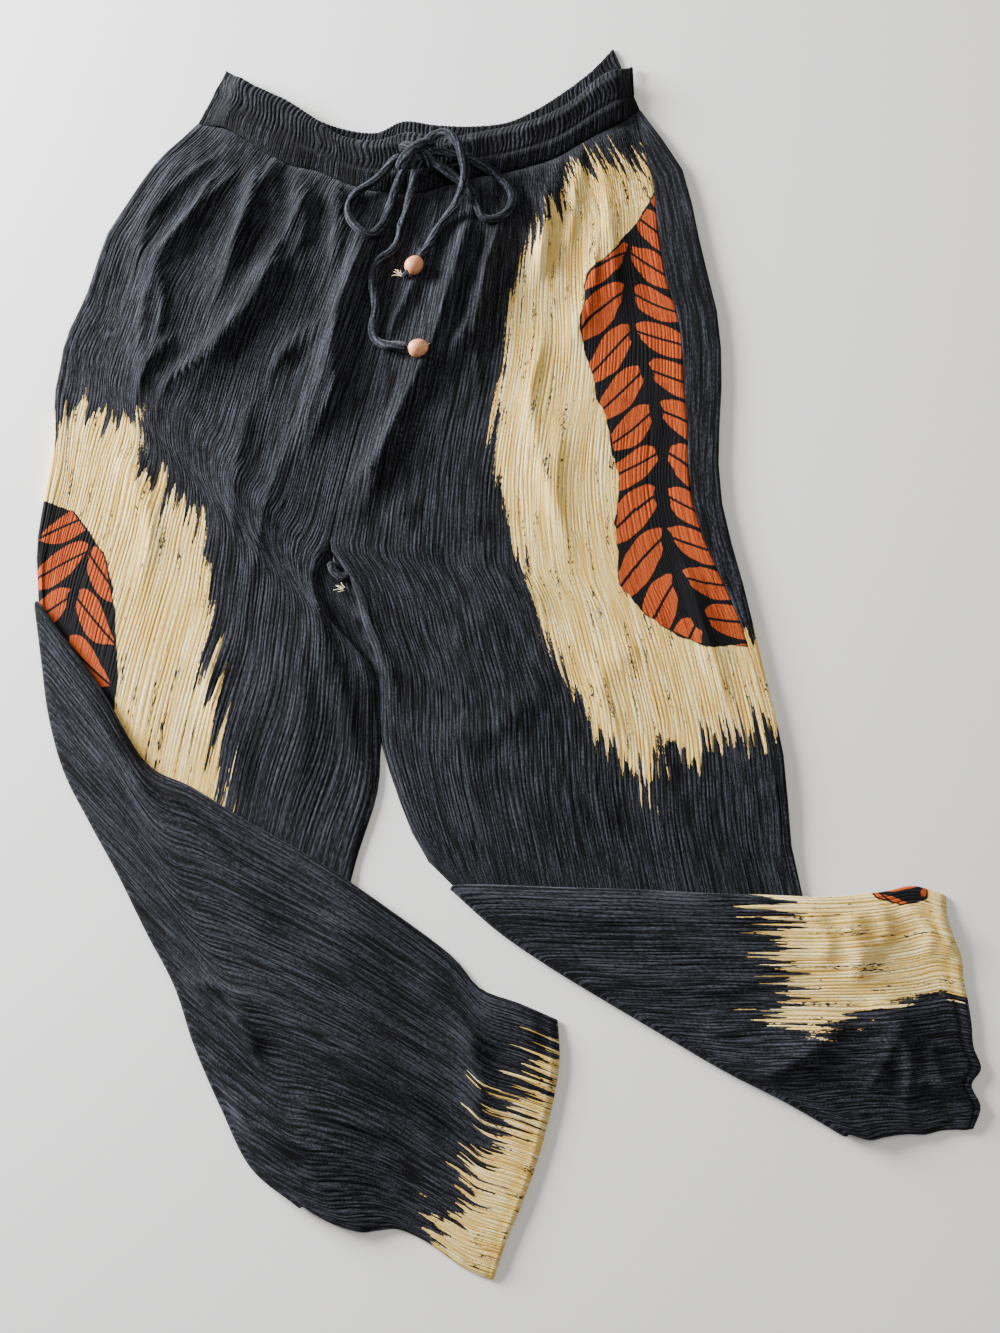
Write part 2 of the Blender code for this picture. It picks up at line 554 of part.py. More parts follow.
right_shares = [line[0] for line in RIGHT_LOWER]
left_shares = [line[0] for line in LEFT_LOWER]
front_right = front_panel(right, right_shares)
front_left = front_panel(left, left_shares)
back_right = back_panel(right, right_shares)
back_left = back_panel(left, left_shares)
panel_object("front_leg_right", front_right, WALL, "crinkled_crepe")
panel_object("front_leg_left", front_left, WALL, "crinkled_crepe")
panel_object("back_leg_right", back_right, WALL, "crinkled_crepe")
panel_object("back_leg_left", back_left, WALL, "crinkled_crepe")
panel_object("waistband_front", front_band(front_right[0], front_left[0]), WALL, "gathered_crepe")
panel_object("waistband_back", back_band(back_right[0, 5:], back_left[0, 5:]), WALL,
             "gathered_crepe")

cord_object("drawstring_loop_right", CORD_LOOP_RIGHT)
cord_object("drawstring_loop_left", CORD_LOOP_LEFT)
cord_object("drawstring_tail_right", CORD_TAIL_RIGHT)
cord_object("drawstring_tail_left", CORD_TAIL_LEFT)
x, y, z, width, depth, height = KNOT
rounded_object("drawstring_knot", (x, y, z), (width / 2, depth / 2, height / 2), 20.0,
               "crepe_cord", 14, 12, wrap_depth=0.06)
for name, bead in (("bead_right", BEAD_RIGHT), ("bead_left", BEAD_LEFT)):
    x, y, z, length, diameter, turn = bead
    rounded_object(name, (x, y, z), (length / 2, diameter / 2, diameter / 2), turn,
                   "wooden_bead", 14, 8, taper=0.10)
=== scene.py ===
# Looks of the harem jogger pants: crinkled crepe laid flat on a pale floor, seen from above.
import json

import bpy
import numpy as np
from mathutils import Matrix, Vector

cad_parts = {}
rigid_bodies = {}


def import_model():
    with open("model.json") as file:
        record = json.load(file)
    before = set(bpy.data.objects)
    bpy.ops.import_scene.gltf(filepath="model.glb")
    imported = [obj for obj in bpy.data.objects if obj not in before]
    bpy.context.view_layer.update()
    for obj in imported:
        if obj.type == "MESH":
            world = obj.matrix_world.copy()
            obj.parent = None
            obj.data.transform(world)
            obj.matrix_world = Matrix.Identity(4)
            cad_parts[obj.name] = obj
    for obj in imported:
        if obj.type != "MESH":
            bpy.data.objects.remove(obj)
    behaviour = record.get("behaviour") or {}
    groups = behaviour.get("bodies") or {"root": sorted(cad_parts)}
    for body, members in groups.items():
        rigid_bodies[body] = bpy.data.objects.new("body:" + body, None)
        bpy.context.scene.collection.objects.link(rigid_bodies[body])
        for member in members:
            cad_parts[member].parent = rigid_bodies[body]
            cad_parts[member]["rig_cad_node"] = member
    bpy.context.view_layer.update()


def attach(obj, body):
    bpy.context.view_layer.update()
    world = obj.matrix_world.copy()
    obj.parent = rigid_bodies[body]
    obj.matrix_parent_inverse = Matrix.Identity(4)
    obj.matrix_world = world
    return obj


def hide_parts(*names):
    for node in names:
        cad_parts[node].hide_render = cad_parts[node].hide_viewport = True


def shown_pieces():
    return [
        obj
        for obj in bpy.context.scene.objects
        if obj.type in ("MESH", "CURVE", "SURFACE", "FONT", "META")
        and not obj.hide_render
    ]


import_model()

mm = 0.001
centre = np.array([-11.1, 63.59])

# Cross-sections of a thigh from the waist to the crease, in millimetres: outer edge x and y,
# inner edge x and y, width of the back panel's strip.
rightThigh = np.array([
    (-273, 504, -66, 430, 6), (-282, 493, -72, 405, 6), (-293, 481, -79, 375, 6),
    (-304, 468, -86, 345, 6), (-314, 452, -94, 312, 6), (-324, 433, -103, 274, 6),
    (-334, 413, -112, 235, 6), (-343, 396, -120, 202, 6), (-348, 378, -127, 168, 6),
    (-352, 359, -134, 133, 6), (-356, 341, -140, 100, 6), (-358, 331, -149, 84, 6),
    (-361, 322, -150, 66, 6), (-365.5, 310, -143, 45, 6), (-370, 297, -131, 27, 6),
    (-372.5, 287, -116, 14, 6), (-374, 275, -103, -3, 6), (-375, 261, -97, -26, 6),
    (-377.5, 242, -96, -61, 6), (-377, 219, -98, -104, 6), (-375.5, 185, -115, -162, 6),
    (-379, 147, -127, -231, 6), (-382, 99, -139, -317, 6), (-377, 52, -144, -404, 6)], float)
leftThigh = np.array([
    (127, 519, -66, 430, 6), (146, 488, -72, 405, 20), (165, 450, -79, 375, 32),
    (171, 408, -86, 345, 36), (179, 360, -94, 312, 38), (188, 306, -103, 274, 34),
    (188, 251, -112, 235, 33), (184, 203, -120, 202, 26), (182, 154, -127, 168, 25),
    (189, 107, -134, 133, 23), (199, 61, -140, 100, 15), (204, 33, -127, 82, 10),
    (210, -2, -117, 60, 6), (217, -37, -111, 37, 6), (222, -70, -102, 15, 6),
    (223, -94, -97.5, -2, 6), (224, -120, -96, -20, 6), (225, -152, -95, -43, 6),
    (231, -185, -92.5, -67, 6), (238, -231, -83, -99, 6), (242, -267, -75, -123, 6),
    (246, -294, -67, -141, 6), (249, -325, -55, -161, 6), (252, -356, -38, -177, 6)], float)
crotchBack = ((11, -134, 82), (12, -127, 62), (13, -120, 44), (14, -114, 28), (15, -106, 8),
              (16, -99.5, -11), (17, -96, -35), (18, -94.5, -64))
# Cross-sections of a folded lower leg from the crease to the hem: share, outer edge, inner edge.
rightLower = np.array([
    (0.00, -377, 52, -144, -404), (0.08, -350, 18, -134, -410), (0.17, -320, -20, -121, -416),
    (0.30, -280, -80, -102, -421), (0.38, -242, -100, -90, -420), (0.48, -196, -127, -75, -419),
    (0.60, -138, -159, -58, -425), (0.71, -87, -192, -44, -433), (0.82, -38, -227, -30, -442),
    (0.88, -16, -251, -22, -446), (0.94, 14, -262, -14, -449), (1.00, 43, -274, -5, -452)], float)
leftLower = np.array([
    (0.00, 252, -356, -38, -177), (0.08, 262, -359, -8, -177), (0.17, 269, -360, 27, -178),
    (0.27, 277, -358, 65, -179), (0.38, 288, -356, 108, -180), (0.50, 299, -355, 153, -182),
    (0.62, 310, -355, 198, -183), (0.74, 322, -352, 245, -184), (0.86, 333, -351, 291, -180),
    (0.93, 340, -351, 317, -175), (1.00, 346, -350, 341, -182)], float)
# Shaped ends of the sections, at even shares from the outer to the inner edge.
rightWaist = np.array([
    (-273, 504), (-248, 497), (-227, 484), (-207, 469), (-185, 457), (-161, 451), (-139, 440),
    (-115, 432), (-91, 428), (-66, 430)], float)
leftWaist = np.array([
    (127, 519), (108, 503), (88, 490), (68, 477), (48, 464), (26, 456), (3, 449), (-20, 445),
    (-43, 438), (-66, 430)], float)
rightCrease = np.array([
    (-377, 52), (-367, 5), (-357, -41), (-341, -86), (-317, -127), (-292, -167), (-268, -209),
    (-244, -249), (-226, -293), (-204, -336), (-180, -377), (-144, -404)], float)
leftCrease = np.array([
    (252, -356), (210, -332), (166, -310), (124, -286), (81, -261), (39, -236), (-1, -209),
    (-38, -177)], float)
rightHem = np.array([
    (43, -274), (44, -301), (40, -327), (33, -353), (25, -378), (15, -403), (4, -427),
    (-5, -452)], float)
leftHem = np.array([
    (346, -350), (352, -335), (347, -320), (355, -308), (351, -293), (351, -277), (350, -261),
    (348, -244), (348, -228), (343, -213), (340, -198), (341, -182)], float)
# Waistband edges from the right to the left side, at even shares.
frontLip = np.array([
    (-249, 560), (-223, 542), (-194, 527), (-168, 508), (-143, 489), (-112, 483), (-82, 492),
    (-51, 486), (-20, 492), (11, 499), (41, 510), (67, 527), (92, 552), (121, 566)], float)
backLip = np.array([
    (-250, 563), (-223, 545), (-196, 530), (-170, 513), (-141, 501), (-111, 497), (-87, 509),
    (-56, 505), (-25, 504), (6, 508), (32, 521), (58, 540), (83, 562), (104, 587)], float)
# Folds on the thighs, then on the folded lower legs: half-width, height, and x and y of the
# points along the crest.
thighFolds = (
    (13, 5.1, -158, 447, -217, 327, -275, 209), (11, 4.25, -143, 432, -143, 385, -148, 339),
    (12, 4.25, -252, 470, -302, 413, -319, 339), (11, 3.825, -231, 458, -298, 358, -308, 238),
    (12, 5.1, -201, 458, -230, 384, -248, 306), (14, 5.525, -117, 412, -142, 283, -176, 159),
    (10, 2.55, -189, 269, -167, 285, -144, 300), (9, 2.125, -308, 265, -293, 276, -279, 287),
    (13, 2.55, -210, 229, -219, 158, -218, 87), (14, 2.55, -160, 19, -153, -45, -155, -110),
    (8, 2.975, -139, 100, -145, 22, -108, -78), (9, 2.975, -134, 96, -101, 26, -77, -46),
    (14, 5.525, -25, 412, -54, 318, -85, 225), (12, 4.675, 4, 426, -17, 331, -55, 240),
    (12, 3.825, 42, 447, 39, 385, 26, 323), (14, 3.4, 89, 473, 97, 384, 101, 295),
    (11, 3.4, -90, 139, -69, 109, -41, 87), (13, 2.975, -40, 28, -9, 4, 24, -17),
    (13, 2.975, -24, 100, 9, 68, 48, 44), (13, 4.25, -75, 214, -100, 164, -123, 113),
    (15, 2.55, 50, 211, 46, 144, 61, 78), (14, 2.125, 16, -54, 46, -101, 77, -135),
    (12, 2.55, 150, 87, 166, 20, 185, -46), (8, 3.2, -276, 489, -302, 436, -325, 377),
    (8, 3.8, -254, 446, -272, 404, -312, 351), (7, 3.8, -212, 456, -225, 400, -235, 342),
    (7, 3.2, -180, 441, -170, 399, -184, 359),
    (8, 5, -183, 366, -199, 350, -221, 306, -262, 262, -283, 245, -292, 203),
    (7, 3.2, -147, 441, -138, 399, -141, 354), (6, 3, -147, 306, -179, 282, -199, 246),
    (7, 3.4, -279, 289, -300, 262, -309, 224), (7, 3, -297, 354, -290, 319, -297, 271),
    (9, 2.6, -179, 185, -196, 123, -202, 54), (7, 2.8, -341, 414, -351, 362, -356, 296),
    (7, 5.5, -115, 387, -126, 351, -139, 314, -143, 275, -140, 243, -153, 208, -166, 167),
    (8, 6.5, -21, 396, -32, 375, -47, 318, -61, 270, -83, 223, -103, 174, -120, 152, -133, 116),
    (7, 5.5, 3, 391, -9, 366, -16, 330, -22, 298, -38, 282, -52, 255),
    (7, 3, -22, 298, -20, 262, -16, 228), (8, 4, -70, 392, -74, 343, -88, 310, -105, 262),
    (7, 3.4, 41, 429, 37, 386, 31, 335), (7, 2.6, 66, 444, 64, 409, 57, 364),
    (11, 3, -88, 145, -58, 130, -25, 121, 16, 132), (12, 3.2, 39, -11, -6, -51, -65, -71),
    (10, 1.8, 67, -71, 78, -109, 92, -145), (9, 3, 88, 394, 76, 325, 51, 268),
    (9, 2.6, 39, 296, 25, 231, 37, 167, 49, 105), (10, 2, 112, 20, 79, -21, 109, -78),
    (9, 2.4, -317, 185, -288, 123, -291, 54), (9, 2.4, -236, 20, -219, -54, -185, -109),
    (6, 2.4, -145, 37, -133, 3, -117, -46, -111, -93))
lowerFolds = (
    (14, 3.825, -207, -252, -134, -294, -58, -330),
    (15, 3.4, -294, -82, -222, -154, -151, -208),
    (12, 2.975, -197, -323, -125, -357, -50, -385),
    (12, 2.975, -129, -196, -81, -232, -33, -276), (12, 2.975, -19, -280, -15, -318, -17, -355),
    (15, 2.975, 105, -208, 171, -228, 239, -241), (14, 2.975, 148, -274, 205, -296, 265, -302),
    (11, 3.825, 300, -266, 284, -299, 264, -330), (9, 2.975, 265, -195, 273, -215, 285, -232),
    (10, 3.4, 317, -288, 321, -313, 327, -330),
    (11, 4, -281, -80, -215, -145, -152, -195, -111, -225, -45, -254),
    (9, 5, -239, -245, -194, -254, -143, -279, -83, -316, -53, -339, -43, -367),
    (9, 4.2, -227, -293, -195, -335, -165, -353, -125, -367, -62, -403),
    (9, 4.2, -60, -241, -28, -274, -18, -311), (7, 3, -199, -269, -185, -284, -177, -302),
    (10, 2.2, -315, -46, -271, -109, -229, -171),
    (12, 3.6, 114, -296, 187, -314, 233, -291, 264, -270),
    (8, 4.5, 279, -259, 298, -288, 300, -314, 294, -340),
    (6, 3, 302, -316, 323, -320, 342, -327), (11, 2, -15, -189, 53, -197, 136, -204),
    (10, 2.2, 75, -241, 149, -252, 210, -241), (8, 2.8, 261, -204, 269, -230, 261, -252),
    (7, 2.4, 308, -189, 325, -208, 319, -234), (6, 2.2, 232, -190, 246, -214, 238, -240),
    (6, 2.6, 283, -186, 292, -203, 284, -226), (5, 2.4, 331, -196, 338, -214, 333, -232),
    (7, 3.0, -12, -262, 12, -276, 34, -292), (9, 3.0, -176, -122, -120, -160, -70, -186),
    (8, 2.6, -330, -20, -296, -74, -262, -118), (7, 2.8, -150, -330, -110, -346, -72, -352),
    (7, 2.4, 150, -300, 178, -318, 214, -330))
# Drawstring routes: points x, y, z of each free length, from the knot outwards.
routes = {
    "drawstring_loop_right": (
        (-86.1, 456.9, 23.2), (-92, 454, 22.0), (-100, 446, 19.5), (-111, 436, 16.5),
        (-125, 426, 15.2), (-132, 412, 16.0), (-130, 399, 15.2), (-121, 388, 16.2),
        (-111, 385, 14.6), (-103, 395, 13.0), (-98, 408, 13.2), (-94, 421, 13.8),
        (-90, 433, 16.5), (-85, 443, 20.5), (-80.6, 449.2, 22.2)),
    "drawstring_loop_left": (
        (-60.3, 461.1, 22.8), (-50, 462, 21.0), (-38, 460, 19.2), (-26, 458, 18.2),
        (-13, 451, 16.5), (-2, 443, 14.2), (7, 433, 14.2), (11, 421, 14.2), (7, 409, 14.2),
        (-3, 401, 14.3), (-14, 401, 14.6), (-20, 411, 14.6), (-24, 425, 14.4),
        (-34, 437, 15.5), (-46, 444, 19.0), (-54, 448, 22.0), (-62.6, 453.4, 23.4)),
    "drawstring_tail_right": (
        (-73.7, 448.1, 22.4), (-74.5, 439, 20.5), (-77, 430, 16.8), (-80, 418, 13.6),
        (-82, 406, 12.8), (-86, 394, 12.0), (-88, 382, 11.0), (-94, 371, 10.3),
        (-103, 364, 10.4), (-109, 353, 10.7), (-110, 340, 10.5), (-108, 326, 9.9),
        (-107, 311, 9.4), (-109, 297, 9.4), (-106, 285, 10.4), (-97, 279, 13.2),
        (-87, 277.5, 15.0), (-77.4, 275.5, 16.0)),
    "drawstring_tail_left": (
        (-64.8, 470.2, 24.7), (-61, 475, 24.5), (-53, 479, 25.0), (-45, 477, 26.2),
        (-38, 469, 27.0), (-34, 457, 26.8), (-31, 444, 25.0), (-32, 430, 22.0),
        (-37, 415, 19.0), (-46, 402, 14.6), (-54, 391, 12.8), (-60, 380, 12.2),
        (-64.5, 371, 12.9), (-69.9, 362.4, 13.5))}

# Levels of the cloth's layers and how far each blend between them reaches, in millimetres.
layers = dict(wall=1.0, seamGap=0.3, backZ=0.6, frontZ=2.6, turnZ=3.9, tuck=1.6,
              floorTurnZ=1.6, ease=85.0, coverEase=60.0, edgeLift=3.0, edgeStrip=6.0,
              leastSine=0.16, edgeFlat=2.5, thighLift=2.0, lowerLift=1.2, waistLift=6.2,
              waistRun=75.0, edgeFloor=1.5, crotchRow=10)


# Smooth step of x held to 0..1: 3 x^2 - 2 x^3.
def ease(x):
    x = np.clip(x, 0.0, 1.0)
    return x * x * (3.0 - 2.0 * x)


# Catmull-Rom curve through a table's rows, read at fractional row numbers.
def through(table, position):
    table = np.asarray(table, float)
    table = np.concatenate([2 * table[:1] - table[1:2], table, 2 * table[-1:] - table[-2:-1]])
    position = np.asarray(position, float)
    k = np.clip(np.floor(position).astype(int), 0, len(table) - 4)
    s = (position - k)[..., None]
    a, b, c, d = table[k], table[k + 1], table[k + 2], table[k + 3]
    return 0.5 * (2 * b + (c - a) * s + (2 * a - 5 * b + 4 * c - d) * s ** 2
                  + (3 * b - a - 3 * c + d) * s ** 3)


# The same curve read at shares 0..1 of its rows.
def along(table, share):
    return through(table, np.asarray(share) * (len(table) - 1))


# Value noise from -1 to 1: a whole-number hash of each lattice point and the seed, blended
# between the points by smooth steps.
def valueNoise(x, y, seed):
    xi, yi = np.floor(x).astype(np.int64), np.floor(y).astype(np.int64)
    fx, fy = ease(x - xi), ease(y - yi)

    def corner(i, j):
        h = (i * 374761393 + j * 668265263 + seed * 974634777) & 0xFFFFFFFF
        h = ((h ^ (h >> 13)) * 1274126177) & 0xFFFFFFFF
        return ((h ^ (h >> 16)) & 0xFFFF) / 32767.5 - 1.0

    low = corner(xi, yi) * (1 - fx) + corner(xi + 1, yi) * fx
    high = corner(xi, yi + 1) * (1 - fx) + corner(xi + 1, yi + 1) * fx
    return low * (1 - fy) + high * fy


foldDetail = dict(higher=1.45, narrower=0.82, sharpness=1.12, steps=14, reach=2.8,
                  startTaper=0.2, startShare=0.3, endTaper=0.35)


# Sum of soft ridges: exp(-(distance / half-width)^sharpness) about a crest, tapered at its ends.
def foldHeight(folds, x, y):
    total = np.zeros_like(x)
    for halfWidth, height, *crest in folds:
        crest = np.reshape(crest, (-1, 2))
        share = np.linspace(0.0, 1.0, foldDetail["steps"] * len(crest))
        px, py = along(crest, share).T
        reach = foldDetail["reach"] * halfWidth
        near = ((x > px.min() - reach) & (x < px.max() + reach)
                & (y > py.min() - reach) & (y < py.max() + reach))
        if not near.any():
            continue
        distance = np.hypot(x[near][:, None] - px, y[near][:, None] - py)
        place = share[distance.argmin(axis=1)]
        taper = (ease(place / foldDetail["startTaper"] + foldDetail["startShare"])
                 * ease((1.0 - place) / foldDetail["endTaper"]))
        width = foldDetail["narrower"] * halfWidth
        total[near] += (foldDetail["higher"] * height * taper
                        * np.exp(-(distance.min(axis=1) / width) ** foldDetail["sharpness"]))
    return total


crinkleDetail = dict(sway=0.95, swayWidth=0.23, quiver=0.42, quiverWidth=0.8, roundness=0.55,
                     depth=0.76, depthChange=0.24, broad=0.1)


# Irregular crinkle: broad ridges between narrow grooves, 1 - depth (1 - |sin(pi line)|^0.55),
# with the lines pushed sideways and their depth changed by noise stretched along the grain.
# line counts the ridges, run is the length along the grain in millimetres.
def crinkle(line, run, seed, long=105.0):
    look = crinkleDetail
    push = (look["sway"] * valueNoise(line * look["swayWidth"], run / long, seed)
            + look["quiver"] * valueNoise(line * look["quiverWidth"], run / (0.4 * long),
                                          seed + 1))
    top = np.abs(np.sin(np.pi * (line + push))) ** look["roundness"]
    depth = look["depth"] + look["depthChange"] * valueNoise(line * 0.6, run / (0.9 * long),
                                                             seed + 2)
    broad = look["broad"] * (valueNoise(line * 0.17, run / (1.5 * long), seed + 3) - 0.5)
    return np.clip(1.0 - depth * (1.0 - top) + broad, 0.0, 1.15)


# 1 / sine of the angle between each cross-section and its outer edge.
def slants(outer, inner):
    k = np.arange(len(outer))
    run = outer[np.minimum(k + 1, k[-1])] - outer[np.maximum(k - 1, 0)]
    across = inner - outer
    sine = np.abs(across[:, 0] * run[:, 1] - across[:, 1] * run[:, 0])
    sine = sine / (np.hypot(*across.T) * np.hypot(*run.T))
    return 1.0 / np.maximum(sine, layers["leastSine"])


# Plan of one leg in millimetres: u runs from its outer edge (0) to its inner edge (1).
class Leg:
    def __init__(self, thigh, lower, waist, crease, hem, lowerLength, coverColumn, seed):
        self.thigh, self.lower, self.seed = thigh, lower, seed
        self.waist, self.crease, self.hem = waist, crease, hem
        self.lowerLength = lowerLength
        self.last = len(thigh) - 1
        self.backInner = thigh[:, 2:4].copy()
        for row, x, y in crotchBack:
            self.backInner[row] = (x, y)
        chord = crease[-1] - crease[0]
        normal = np.array([chord[1], -chord[0]]) / np.hypot(*chord)
        middle = thigh[:, :4].reshape(-1, 2, 2).mean(axis=(0, 1))
        self.outward = -normal if (middle - crease[0]) @ normal > 0 else normal
        edge = lower[:, coverColumn:coverColumn + 2]
        self.cover = edge[np.argsort(edge[:, 0])]
        self.slantLower = slants(lower[:, 1:3], lower[:, 3:5])
        self.slantThigh = slants(thigh[:, 0:2], thigh[:, 2:4])
        self.slantThigh[-1] = self.slantLower[0]

    # Outer and inner edge points at fractional rows, with a corner at the crotch.
    def edges(self, row, back):
        inner = self.backInner if back else self.thigh[:, 2:4]
        top = through(inner[:layers["crotchRow"] + 1], np.minimum(row, layers["crotchRow"]))
        low = through(inner[layers["crotchRow"]:], np.maximum(row - layers["crotchRow"], 0))
        inside = np.where((row < layers["crotchRow"])[:, None], top, low)
        return through(self.thigh[:, 0:2], row), inside

    # Crease points held in by the turn's own radius, which the turn then makes up for.
    def creaseAt(self, u, back):
        inset = layers["turnZ"] - layers["backZ"]
        inset = inset + (0.0 if back else layers["tuck"]) * ease((u - 0.12) / 0.15)
        return along(self.crease, u) - self.outward * inset[..., None]

    # Straight section between the edges, bent to the waist's and the crease's own lines.
    def thighPlan(self, row, u, back):
        outer, inner = self.edges(row, back)
        t = (row / self.last)[:, None, None]
        share = u[..., None]
        plan = outer[:, None] + (inner - outer)[:, None] * share
        w0, w1 = self.waist[0], self.waist[-1]
        plan = plan + (1 - ease(t * 3)) * (along(self.waist, u) - w0 - (w1 - w0) * share)
        c0, c1 = self.crease[0], self.crease[-1]
        return plan + ease(t * 3 - 2) * (self.creaseAt(u, back) - c0 - (c1 - c0) * share)

    # The same for the folded leg, bent to the crease's and the hem's lines.
    def lowerPlan(self, share, u, back):
        position = np.interp(share, self.lower[:, 0], np.arange(len(self.lower)))
        edge = through(self.lower[:, 1:5], position)
        w, s = u[..., None], share[:, None, None]
        plan = edge[:, None, :2] + (edge[:, 2:] - edge[:, :2])[:, None] * w
        c0, c1 = self.crease[0], self.crease[-1]
        h0, h1 = self.hem[0], self.hem[-1]
        plan = plan + (1 - s) * (self.creaseAt(u, back) - c0 - (c1 - c0) * w)
        return plan + s * (along(self.hem, u) - h0 - (h1 - h0) * w)

    # The rows of the thigh, the crease and the folded leg in turn: each row's place, length
    # across, 1 / sine of its slant, the front strip's width and the run along the cloth.
    def sections(self, rows, run, angles, shares, back):
        whole = np.arange(self.last + 1)
        for kind, value in (("thigh", rows), ("turn", angles), ("lower", shares)):
            row = value if kind == "thigh" else np.full(len(value), float(self.last))
            ends = np.tile([0.0, 1.0], (len(value), 1))
            if kind == "lower":
                ends = self.lowerPlan(value, ends, back)
                slant = np.interp(value, self.lower[:, 0], self.slantLower)
                alongRun = run + value * self.lowerLength
            else:
                ends = self.thighPlan(row, ends, back)
                slant = np.interp(row, whole, self.slantThigh)
                alongRun = row * run / self.last
            length = np.hypot(*(ends[:, 1] - ends[:, 0]).T)
            strip = layers["edgeStrip"] * slant
            if kind == "thigh":
                strip = np.maximum(strip, np.interp(row, whole, self.thigh[:, 4]))
            yield kind, value, row, length, slant, strip, alongRun

    # Carries cloth round the crease: a half circle about turnZ from its own level.
    def roundCrease(self, plan, level, degrees):
        radius, angle = layers["turnZ"] - level, np.radians(degrees)[:, None]
        plan = plan + self.outward * (radius * np.sin(angle))[..., None]
        return plan, layers["turnZ"] - radius * np.cos(angle)

    # 1 on the open thigh, 0 under the folded leg.
    def uncovered(self, x, y):
        line = np.interp(x, self.cover[:, 0], self.cover[:, 1])
        return ease((y - line - 4.0) / layers["coverEase"])

    # How far a point lies on the thigh's side of the edge that the folded leg passes.
    def inside(self, x, y):
        onRight = self.thigh[0, 0] < self.thigh[0, 2]
        edge = self.thigh[layers["crotchRow"] + 4:, 2:4] if onRight else self.thigh[:, 0:2]
        return np.interp(y, edge[::-1, 1], edge[::-1, 0]) - x

    # Height of the folding line: high over the thigh, low past the thigh's own edge.
    def turnHeight(self, x, y):
        low = layers["floorTurnZ"]
        return low + (layers["turnZ"] - low) * ease(1.0 + self.inside(x, y) / layers["ease"])

    # Rise of the rolled outer edge at rows.
    def edgeLift(self, row):
        edge = through(self.thigh[:, 0:2], row)
        grow = 0.6 + 0.4 * ease(row / 3.0)
        return layers["edgeLift"] * grow * self.uncovered(edge[:, 0], edge[:, 1])


right = Leg(rightThigh, rightLower, rightWaist, rightCrease, rightHem, 342.0, 1, 11)
left = Leg(leftThigh, leftLower, leftWaist, leftCrease, leftHem, 237.0, 3, 47)
waistLine = np.concatenate([rightWaist, leftWaist[-2::-1]])
print("stage: plan")


# Height of the cloth along the lower seam of the waistband, low at both sides.
def waistHeight(x):
    ends = np.minimum(x - rightWaist[0, 0], leftWaist[0, 0] - x)
    low = layers["edgeLift"] * 0.6
    return low + (layers["waistLift"] - low) * ease(ends / 45.0)


# Share of a quarter-round edge's drop: 1 - sqrt(1 - (1 - distance / radius)^2).
def rimShare(distance, radius):
    past = np.clip(1.0 - distance / radius, 0.0, 1.0)
    return 1.0 - np.sqrt(1.0 - past ** 2)


# Distance below the waist's line.
def belowWaist(x, y):
    return np.interp(x, waistLine[:, 0], waistLine[:, 1]) - y


# Fractional rows that are evenly spaced along the middle of the leg.
def thighRows(leg, count):
    fine = np.linspace(0.0, leg.last, 400)
    outer, inner = leg.edges(fine, False)
    run = 0.5 * (np.hypot(*np.gradient(outer, axis=0).T) + np.hypot(*np.gradient(inner, axis=0).T))
    run = run.cumsum() - run[0]
    return np.interp(np.linspace(0.0, run[-1], count), run, fine), run[-1]


clothDetail = dict(rows=72, backRows=26, turnRows=9, lowerRows=66, columns=480,
                   crinkleHeight=1.0, crinkleLevel=0.55, gatherHeight=2.6, gatherWidth=10.0,
                   gatherRun=90.0, stripColumns=15, rollColumns=11, seamDip=0.9, seamWidth=2.4,
                   seamEase=16.0, edgeDrop=1.7, edgeWidth=6.0, hemDepth=11.0, hemDip=0.55,
                   hemWidth=1.3, hemRim=0.7, hemRimWidth=3.0, hemFlattening=0.75)


# Height of the front cloth over its flat level: its folds, the gathers under the waistband and
# the rolled outer edge, each brought in by smooth steps and only where the thigh is open.
def thighLift(leg, row, plan, u, length, levelTo):
    x, y = plan[..., 0], plan[..., 1]
    below = belowWaist(x, y)
    openPart = leg.uncovered(x, y)
    lift = (layers["thighLift"] + foldHeight(thighFolds, x, y) * ease(below / 12.0)) * openPart
    nearWaist = 1.0 - ease(below / layers["waistRun"])
    lift = lift + (waistHeight(x) - layers["thighLift"] * 0.5) * nearWaist * openPart
    lift = np.where(below < 0.5, waistHeight(x), lift)
    gathers = valueNoise(x / clothDetail["gatherWidth"], y / clothDetail["gatherRun"],
                         leg.seed + 7)
    fade = np.exp(-np.maximum(below, 0) / clothDetail["gatherRun"]) * ease(below / 6.0)
    lift = lift + clothDetail["gatherHeight"] * gathers * fade * openPart
    fromOuter = ease((u * length - levelTo) / clothDetail["seamEase"])
    rolled = leg.edgeLift(row)[:, None]
    lift = rolled + (lift - rolled) * fromOuter
    pastCrotch = ease((row - layers["crotchRow"] - 3.0) / 3.0)[:, None]
    toInner = ease(((1.0 - u) * length + 2.0) / clothDetail["seamEase"])
    return lift * (1.0 - pastCrotch * (1.0 - toInner))


# Joins the rows of a panel's parts. Its crinkle ridges and their relief, in millimetres, are
# the last two values; edge is how much relief is left at the panel's own edges.
def joinRows(parts, lines, seed, edge):
    plan, z, u, shown, alongRun = (np.concatenate([p[k] for p in parts]) for k in range(5))
    wave = crinkle(u * lines, alongRun, seed)
    sides = ease(np.minimum(u, 1.0 - u) * 40.0 + edge)
    relief = clothDetail["crinkleHeight"] * (wave - clothDetail["crinkleLevel"]) * sides
    return plan, z, u, shown, alongRun, wave, relief


